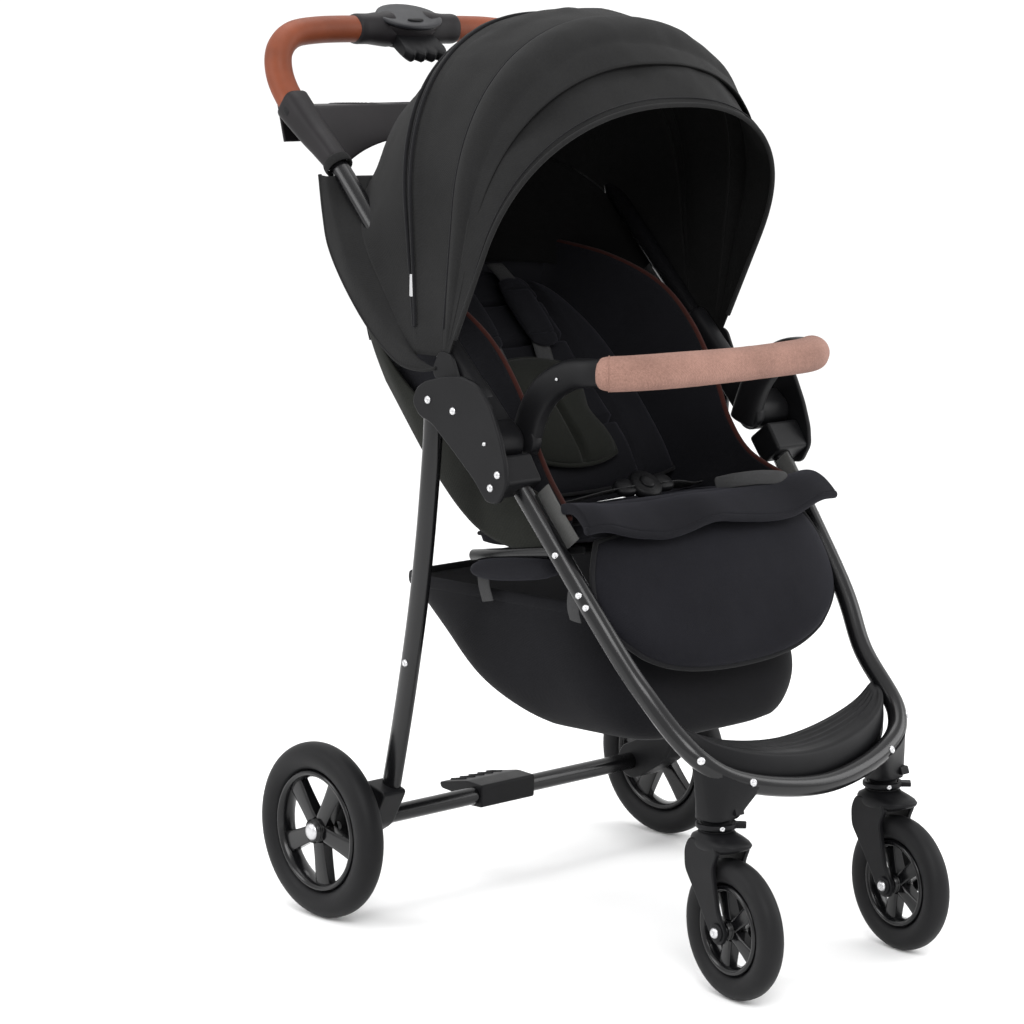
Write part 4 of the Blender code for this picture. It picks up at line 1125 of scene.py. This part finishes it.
o, e = pillow("seat_cushion_v", 0.178, 0.200, 0.027, 0.012, SM @ Matrix.Translation((0, -0.010, 0.0225)), 70, 60, 0.16, None, seat_groove, edge=8,
              post=seat_post, seed=11.0)
done(o, "front_frame", SEAT, "seat_cushion")
done(sweep("seat_piping", e, 0.0026, 10, closed=True, up=(0, 0, 1)), "front_frame", BLACKPIPE)
board = prism("seat_base_v", round_outline([(0.013, 0.0), (0.176, 0.0), (0.176, 0.010), (0.013, 0.010)], 0.004), -0.165, 0.165, SM, bevel=0.002)
done(board, "front_frame", PLASTIC, "seat_base")

# front flap of the seat: a soft lip that hangs over the calf pad and flares at the corners
def lip(i, j):
    x = -0.197 + 0.394 * j
    e_ = abs(x) / 0.197
    sag_ = 0.006 * math.cos(x * 34) * (1 - e_ ** 4) + wob((x, 0, 0), 20, 0.004, 2.0)
    y = 0.192 - 0.050 * i - 0.012 * (1 - e_ ** 2) * i
    z = 0.5155 + 0.010 * e_ ** 3 - 0.018 * i * i + sag_ * i + 0.006 * math.sin(i * math.pi)
    return Vector((x * (1 + 0.03 * i), y, z))


o = sheet_grid("seat_front_lip", lip, 24, 110, 0.012, mats=1)
sub = o.modifiers.new("sub", "SUBSURF")
sub.levels = sub.render_levels = 1
LIP = ("front_frame", "calf_rest", (0, 0.184, 0.516), (0, 0.160, 0.504))
done(o, None, SEAT, blend=LIP)
done(sweep("seat_lip_piping", [lip(1.0, j / 90) for j in range(91)], 0.0050, 12, up=(0, 0, 1)), None, SEAT, blend=LIP)
loop = [(0.060, 0.196, 0.5285), (0.075, 0.182, 0.533), (0.105, 0.172, 0.5345), (0.135, 0.168, 0.5315), (0.150, 0.172, 0.527)]
done(sweep("seat_loop", catmull(loop, 6), (0.0010, 0.0085), 12, up=(0, 0, 1)), "front_frame", WEB)

# side walls of the seat from the front corner up to the canopy, with brown piping
wing_top = [(0.1880, 0.186, 0.515), (0.1800, 0.204, 0.527), (0.1640, 0.246, 0.552), (0.1590, 0.276, 0.590), (0.1590, 0.300, 0.640), (0.1640, 0.345, 0.700),
            (0.1720, 0.410, 0.745), (0.170, 0.500, 0.775), (0.158, 0.590, 0.790)]
wing_low = [(0.182, 0.190, 0.488), (0.174, 0.215, 0.484), (0.163, 0.255, 0.479), (0.160, 0.300, 0.472), (0.161, 0.350, 0.470), (0.162, 0.395, 0.500), (0.162, 0.450, 0.556),
            (0.158, 0.530, 0.640), (0.140, 0.620, 0.735)]
for side, s in SIDES:
    A, B = catmull(wing_top, 8), catmull(wing_low, 8)
    n = len(A)

    def fn(i, j, s=s, A=A, B=B, n=n):
        k = j * (n - 1)
        a = int(min(k, n - 2))
        f = k - a
        p = A[a].lerp(A[a + 1], f)
        q = B[a].lerp(B[a + 1], f)
        r = p.lerp(q, i)
        bul = 0.006 * math.sin(math.pi * i) + wob(r, 13, 0.004, 4 + s) * math.sin(math.pi * i)
        return Vector((s * (r.x + bul * 0.6), r.y, r.z))
    o = sheet_grid("seat_wing_" + side, fn, 24, 80, 0.008, mats=1)
    blendpts = ("front_frame", "backrest", (0, 0.33, 0.50), (0, 0.44, 0.60))
    done(o, None, SEAT, blend=blendpts)
    pip = sweep("wing_piping_" + side, [fn(0.0, k / 120) for k in range(121)], 0.0034, 10)
    done(pip, None, PIPING, blend=blendpts)

# outer side panel below the armrest, between the hinge and the seat
for side, s in SIDES:
    P = [[(0.1860, 0.232, 0.535), (0.1860, 0.262, 0.545), (0.1860, 0.330, 0.575), (0.1850, 0.420, 0.610), (0.182, 0.500, 0.660), (0.176, 0.580, 0.740)],
         [(0.1880, 0.215, 0.505), (0.1885, 0.250, 0.510), (0.1890, 0.310, 0.520), (0.1880, 0.385, 0.548), (0.185, 0.470, 0.610), (0.176, 0.560, 0.700)],
         [(0.1860, 0.205, 0.476), (0.1865, 0.240, 0.472), (0.1870, 0.290, 0.470), (0.1860, 0.355, 0.490), (0.181, 0.430, 0.545), (0.170, 0.530, 0.640)]]
    C = [catmull(r, 8) for r in P]
    n = len(C[0])

    def fn(i, j, s=s, C=C, n=n):
        k = j * (n - 1)
        a = int(min(k, n - 2))
        f = k - a
        p = [c[a].lerp(c[a + 1], f) for c in C]
        r = p[0] * (1 - i) ** 2 + p[1] * 2 * i * (1 - i) + p[2] * i * i
        w = wob(r, 15, 0.0025, 7 + s) * math.sin(math.pi * i)
        return Vector((s * (r.x + w), r.y, r.z))
    o = sheet_grid("seat_side_panel_" + side, fn, 18, 50, 0.003, mats=1)
    done(o, None, INSERT, blend=("front_frame", "backrest", (0, 0.36, 0.50), (0, 0.46, 0.60)))
    sheet_of(o)
    # grey trim between the front tube and the seat
    tr = [(0.196, 0.222, 0.545), (0.194, 0.196, 0.512), (0.190, 0.178, 0.488)]
    tp = catmull(tr, 6)
    done(sweep("side_trim_" + side, [(s * p.x, p.y, p.z) for p in tp], (0.012, 0.0012), 14, up=(1, 0, 0)), "front_frame", REFLECT)
    # rolled bolster under the seat side
    o, e = pillow("seat_bolster_" + side, 0.017, 0.150, 0.014, 0.014,
                  Matrix.Translation((s * 0.186, 0.205, 0.4560)) @ Matrix.Rotation(math.radians(-8), 4, "X"), 16, 40, 0.6, None, None, edge=3, seed=3 + s)
    done(o, "front_frame", SEAT)

# buckle, its straps and its button
BM = Matrix.Translation((0, 0.262, 0.521)) @ Matrix.Rotation(math.radians(38), 4, "X")
done(stack("buckle_v", [(-0.001, 0.016, 0.016, 0), (0.001, 0.0205, 0.0205, 0), (0.006, 0.022, 0.022, 0), (0.010, 0.021, 0.021, 0), (0.0122, 0.0185, 0.0185, 0)], BM, 48),
     "front_frame", PLASTIC, "buckle")
done(stack("buckle_button_v", [(0.0098, 0.0100, 0.0100, 0), (0.0135, 0.0100, 0.0100, 0), (0.0148, 0.0085, 0.0085, 0), (0.0150, 0.003, 0.003, 0)], BM, 40),
     "buckle_button", PLASTIC, "buckle_button")
for k, pts in enumerate(([(0.020, 0.262, 0.524), (0.060, 0.275, 0.520), (0.110, 0.300, 0.510), (0.150, 0.325, 0.505)],
                         [(-0.020, 0.262, 0.524), (-0.060, 0.272, 0.520), (-0.110, 0.290, 0.510), (-0.150, 0.315, 0.505)],
                         [(0.0, 0.250, 0.516), (0.0, 0.240, 0.509), (0.0, 0.225, 0.506)])):
    done(sweep("lap_strap_%d" % k, catmull(pts, 8), (0.0014, 0.0125) if k == 2 else (0.0125, 0.0012), 14, up=(0, 0.4, 0.9) if k < 2 else (1, 0, 0)), "front_frame", WEB)
for side, s in SIDES:
    done(stack("buckle_prong_" + side, [(-0.001, 0.012, 0.010, 0), (0.001, 0.015, 0.012, 0), (0.007, 0.015, 0.012, 0), (0.009, 0.012, 0.010, 0)],
               BM @ Matrix.Translation((s * 0.030, 0.002, 0)), 32, 3.0), "front_frame", PLASTIC)

# ---------------------------------------------------------------- calf pad
CM = Matrix.Translation((0, 0.168, 0.494)) @ Matrix.Rotation(math.radians(-112.9), 4, "X")


def calf_outline(x, y, u_, v_):
    t = y / 0.158
    w = max(0.0, v_)
    x = x * (1.0 + 0.045 * math.sin(math.pi * min(1, t * 1.1)))
    x *= 1 - 0.13 * w ** 3
    y -= 0.014 * w * abs(u_) ** 4
    return x, y + 0.012 * t * (1 - (x / 0.19) ** 2)


def calf_post(p, u_, v_, layer):
    p.z -= 0.010 * (1 - (p.x / 0.176) ** 2) * math.sin(math.pi * min(1, max(0, p.y / 0.155)))
    return p


o, e = pillow("calf_rest_v", 0.184, 0.160, 0.011, 0.017, CM @ Matrix.Translation((0, 0.0, -0.002)), 80, 60, 0.34, calf_outline, None, edge=5, post=calf_post,
              wrinkle=0.0022, wscale=10.0, seed=13.0)
done(o, "calf_rest", CALF, "calf_rest")
done(sweep("calf_piping", e, 0.0034, 12, closed=True, up=(0, 0, 1)), "calf_rest", BLACKPIPE)

# ---------------------------------------------------------------- bumper bar
bump_half = [(0.1815, 0.272, 0.583), (0.1815, 0.266, 0.600), (0.1812, 0.252, 0.632), (0.1800, 0.230, 0.658), (0.1770, 0.197, 0.6755),
             (0.1735, 0.164, 0.680), (0.160, 0.143, 0.680), (0.125, 0.130, 0.680), (0.060, 0.1215, 0.680), (0.0, 0.119, 0.680)]
bp = catmull(both(bump_half), 8)
for side, s in SIDES:
    sp = bp if s > 0 else list(reversed(bp))
    o = sweep("bumper_arm_v_" + side, sp[2:46], lambda t: (0.0205 - 0.0045 * t, 0.0098 + 0.004 * t), 28, up=(1, 0, 0), power=3.2)
    done(o, "bumper", PLASTIC, "bumper_arm_" + side)
    rivet("bumper_dot_" + side, Vector((s * 0.1915, 0.205, 0.671)), (s, 0, 0), "bumper", r=0.0020, h=0.001)
    done(revolve("bumper_pivot_" + side, [(0, 0), (0.0165, 0), (0.0175, 0.001), (0.0175, 0.0130), (0.0165, 0.014), (0.0, 0.014)],
                 Matrix.Translation((s * 0.1765, 0.262, 0.596)) @ (TO_X if s > 0 else Matrix.Rotation(math.radians(-90), 4, "Y")), 40, closed=False), "bumper", PLASTIC)
core = bp[43:-43]
done(sweep("bumper_tube_v", core, 0.0082, 16), "bumper", TUBE, "bumper_tube")


def pad_r(t):
    w = 0.0004 * math.sin(t * 9 + 1) - 0.0014 * math.exp(-t / 0.012) - 0.0014 * math.exp((t - 1) / 0.012)
    return (0.0205 + w, 0.0198 + w)


pp = bp[44:-44]
fine = catmull(pp, 3)
done(sweep("bumper_pad_v", fine, pad_r, 40, up=(0, 0, 1), power=2.25), "bumper", TAN, "bumper_pad")
for k, q in enumerate((6, -7)):
    c = fine[q]
    t = (fine[q + 1] - fine[q - 1]).normalized()
    nn = Vector((0, 0, 1))
    bb = t.cross(nn).normalized()
    ring = [c + nn * (0.0199 * math.sin(a)) + bb * (0.0209 * math.cos(a)) for a in np.linspace(0, 2 * math.pi, 41)[:-1]]
    done(sweep("bumper_end_seam_%d" % k, ring, 0.0007, 8, closed=True), "bumper", TAN)
done(sweep("bumper_under_seam", [p + Vector((0, 0.004, -0.0196)) for p in fine[8:-8]], 0.0011, 8), "bumper", TAN)

# ---------------------------------------------------------------- basket


def bag(u_, v_):
    """v runs round the bag from the front left over the floor; u is height."""
    z_ = u_
    # plan loop of the rim and of the floor
    a = v_ * 2 * math.pi
    c, sn = math.cos(a), math.sin(a)
    c = math.copysign(abs(c) ** 0.42, c)
    sn = math.copysign(abs(sn) ** 0.42, sn)
    yb, yt = 0.215 + 0.106 * sn, 0.344 + 0.183 * sn
    wb, wt = (0.160 + 0.012 * sn), (0.172 + 0.012 * sn)
    f = z_
    shrink = 0.70 + 0.30 * (1 - (1 - min(1.0, z_ / 0.55)) ** 2.4) ** 0.55
    x = (wb * (1 - f) + wt * f) * c * shrink
    ym = 0.215 * (1 - f) + 0.344 * f
    y = ym + (yb * (1 - f) + yt * f - ym) * shrink
    z = 0.252 + 0.150 * z_ + 0.004 * math.cos(2 * a) * z_
    belly = math.sin(math.pi * min(1, z_ * 1.1)) * 0.006
    sag_rim = -0.010 * z_ ** 3 * (abs(math.sin(2 * a)) ** 0.5 * 0 + (1 - abs(c) ** 6) * (1 - abs(sn) ** 6)) * 0.0
    q = Vector((x + belly * c, y + belly * sn * 0.5, z + sag_rim))
    q += Vector((c, sn, 0)) * wob(q, 10, 0.006, 5.0) * math.sin(math.pi * min(1, z_ * 0.9 + 0.05))
    return q


NU, NV = 30, 160
V, F = [], []
for i in range(NU + 1):
    for j in range(NV):
        V.append(bag(i / NU, j / NV))
for i in range(NU):
    for j in range(NV):
        l = (j + 1) % NV
        F.append((i * NV + j, i * NV + l, (i + 1) * NV + l, (i + 1) * NV + j))
# floor: rings that close to a line, sagging a little
base = len(V)
NF = 14
for i in range(1, NF + 1):
    f = i / NF
    for j in range(NV):
        p = V[j].copy()
        q = Vector((p.x * (1 - f), 0.215 + (p.y - 0.215) * (1 - f), p.z))
        q.z = 0.252 - 0.005 * math.sin(f * math.pi / 2) + wob(q, 14, 0.002, 8.0) * f
        V.append(q)
for i in range(NF):
    for j in range(NV):
        l = (j + 1) % NV
        a0 = j if i == 0 else base + (i - 1) * NV + j
        a1 = l if i == 0 else base + (i - 1) * NV + l
        F.append((a0, base + i * NV + j, base + i * NV + l, a1))
o = obj("basket_v", V, F)
sm = o.modifiers.new("cloth", "SOLIDIFY")
sm.thickness = 0.0020
sm.offset = 0
done(o, "front_frame", BASKET, "basket")
sheet_of(o,
         sum((bag(1.0, (j + 1) / 60) - bag(1.0, j / 60)).length for j in range(60)))
done(sweep("basket_hem", [bag(1.0, j / 120) for j in range(120)], (0.0022, 0.0075), 12, up=(0, 0, 1), closed=True), "front_frame", BASKET)
for side, s in SIDES:
    for k, (y0, z0, y1, z1, x1) in enumerate(((0.180, 0.398, 0.168, 0.440, 0.196), (0.330, 0.400, 0.330, 0.452, 0.190))):
        a = Vector((s * 0.184, y0, z0))
        b = Vector((s * x1, y1, z1))
        mid = (a + b) / 2 + Vector((0, 0.004, -0.004))
        done(sweep("basket_strap_%s_%d" % (side, k), catmull([a, mid, b], 6), (0.0100, 0.0010), 12, up=(1, 0, 0)), "front_frame", WEB)

# ---------------------------------------------------------------- stage
bpy.ops.mesh.primitive_plane_add(size=400, location=(0, 0, 0))
floor = bpy.context.object
floor.name = "floor"
fm, nt, b = principled("floor_pale")
b.inputs["Base Color"].default_value = (0.95, 0.95, 0.95, 1)
b.inputs["Roughness"].default_value = 0.9
floor.data.materials.append(fm)
world = bpy.data.worlds.new("studio")
bpy.context.scene.world = world
world.use_nodes = True
world.node_tree.nodes["Background"].inputs["Color"].default_value = (1, 1, 1, 1)
world.node_tree.nodes["Background"].inputs["Strength"].default_value = 1.12


def area(name, loc, target, size, power):
    l = bpy.data.lights.new(name, "AREA")
    l.shape = "RECTANGLE"
    l.size, l.size_y = size
    l.energy = power
    o = bpy.data.objects.new(name, l)
    bpy.context.scene.collection.objects.link(o)
    o.location = loc
    o.rotation_euler = (Vector(target) - Vector(loc)).to_track_quat("-Z", "Y").to_euler()
    return o


area("key", (-1.6, -2.4, 2.6), (0, 0, 0.5), (1.6, 1.6), 60)
area("fill", (2.4, -1.6, 1.6), (0, 0, 0.5), (1.4, 2.0), 30)
area("rim_l", (-2.4, 1.2, 1.8), (0, 0, 0.6), (1.0, 2.0), 30)
area("top", (0.2, 0.6, 3.0), (0, 0, 0.5), (2.0, 2.0), 35)
cam = bpy.data.cameras.new("camera")
cam.lens = 3000.0 / 1024.0 * 36.0
cam.sensor_width = 36.0
co = bpy.data.objects.new("camera", cam)
bpy.context.scene.collection.objects.link(co)
co.location = (-2.4507, -2.25 - OY, 1.0593)
co.rotation_euler = (math.radians(90 - 9.17), 0, math.radians(-41.77))
bpy.context.scene.camera = co
bpy.context.scene.view_settings.view_transform = "Standard"

bpy.context.view_layer.update()
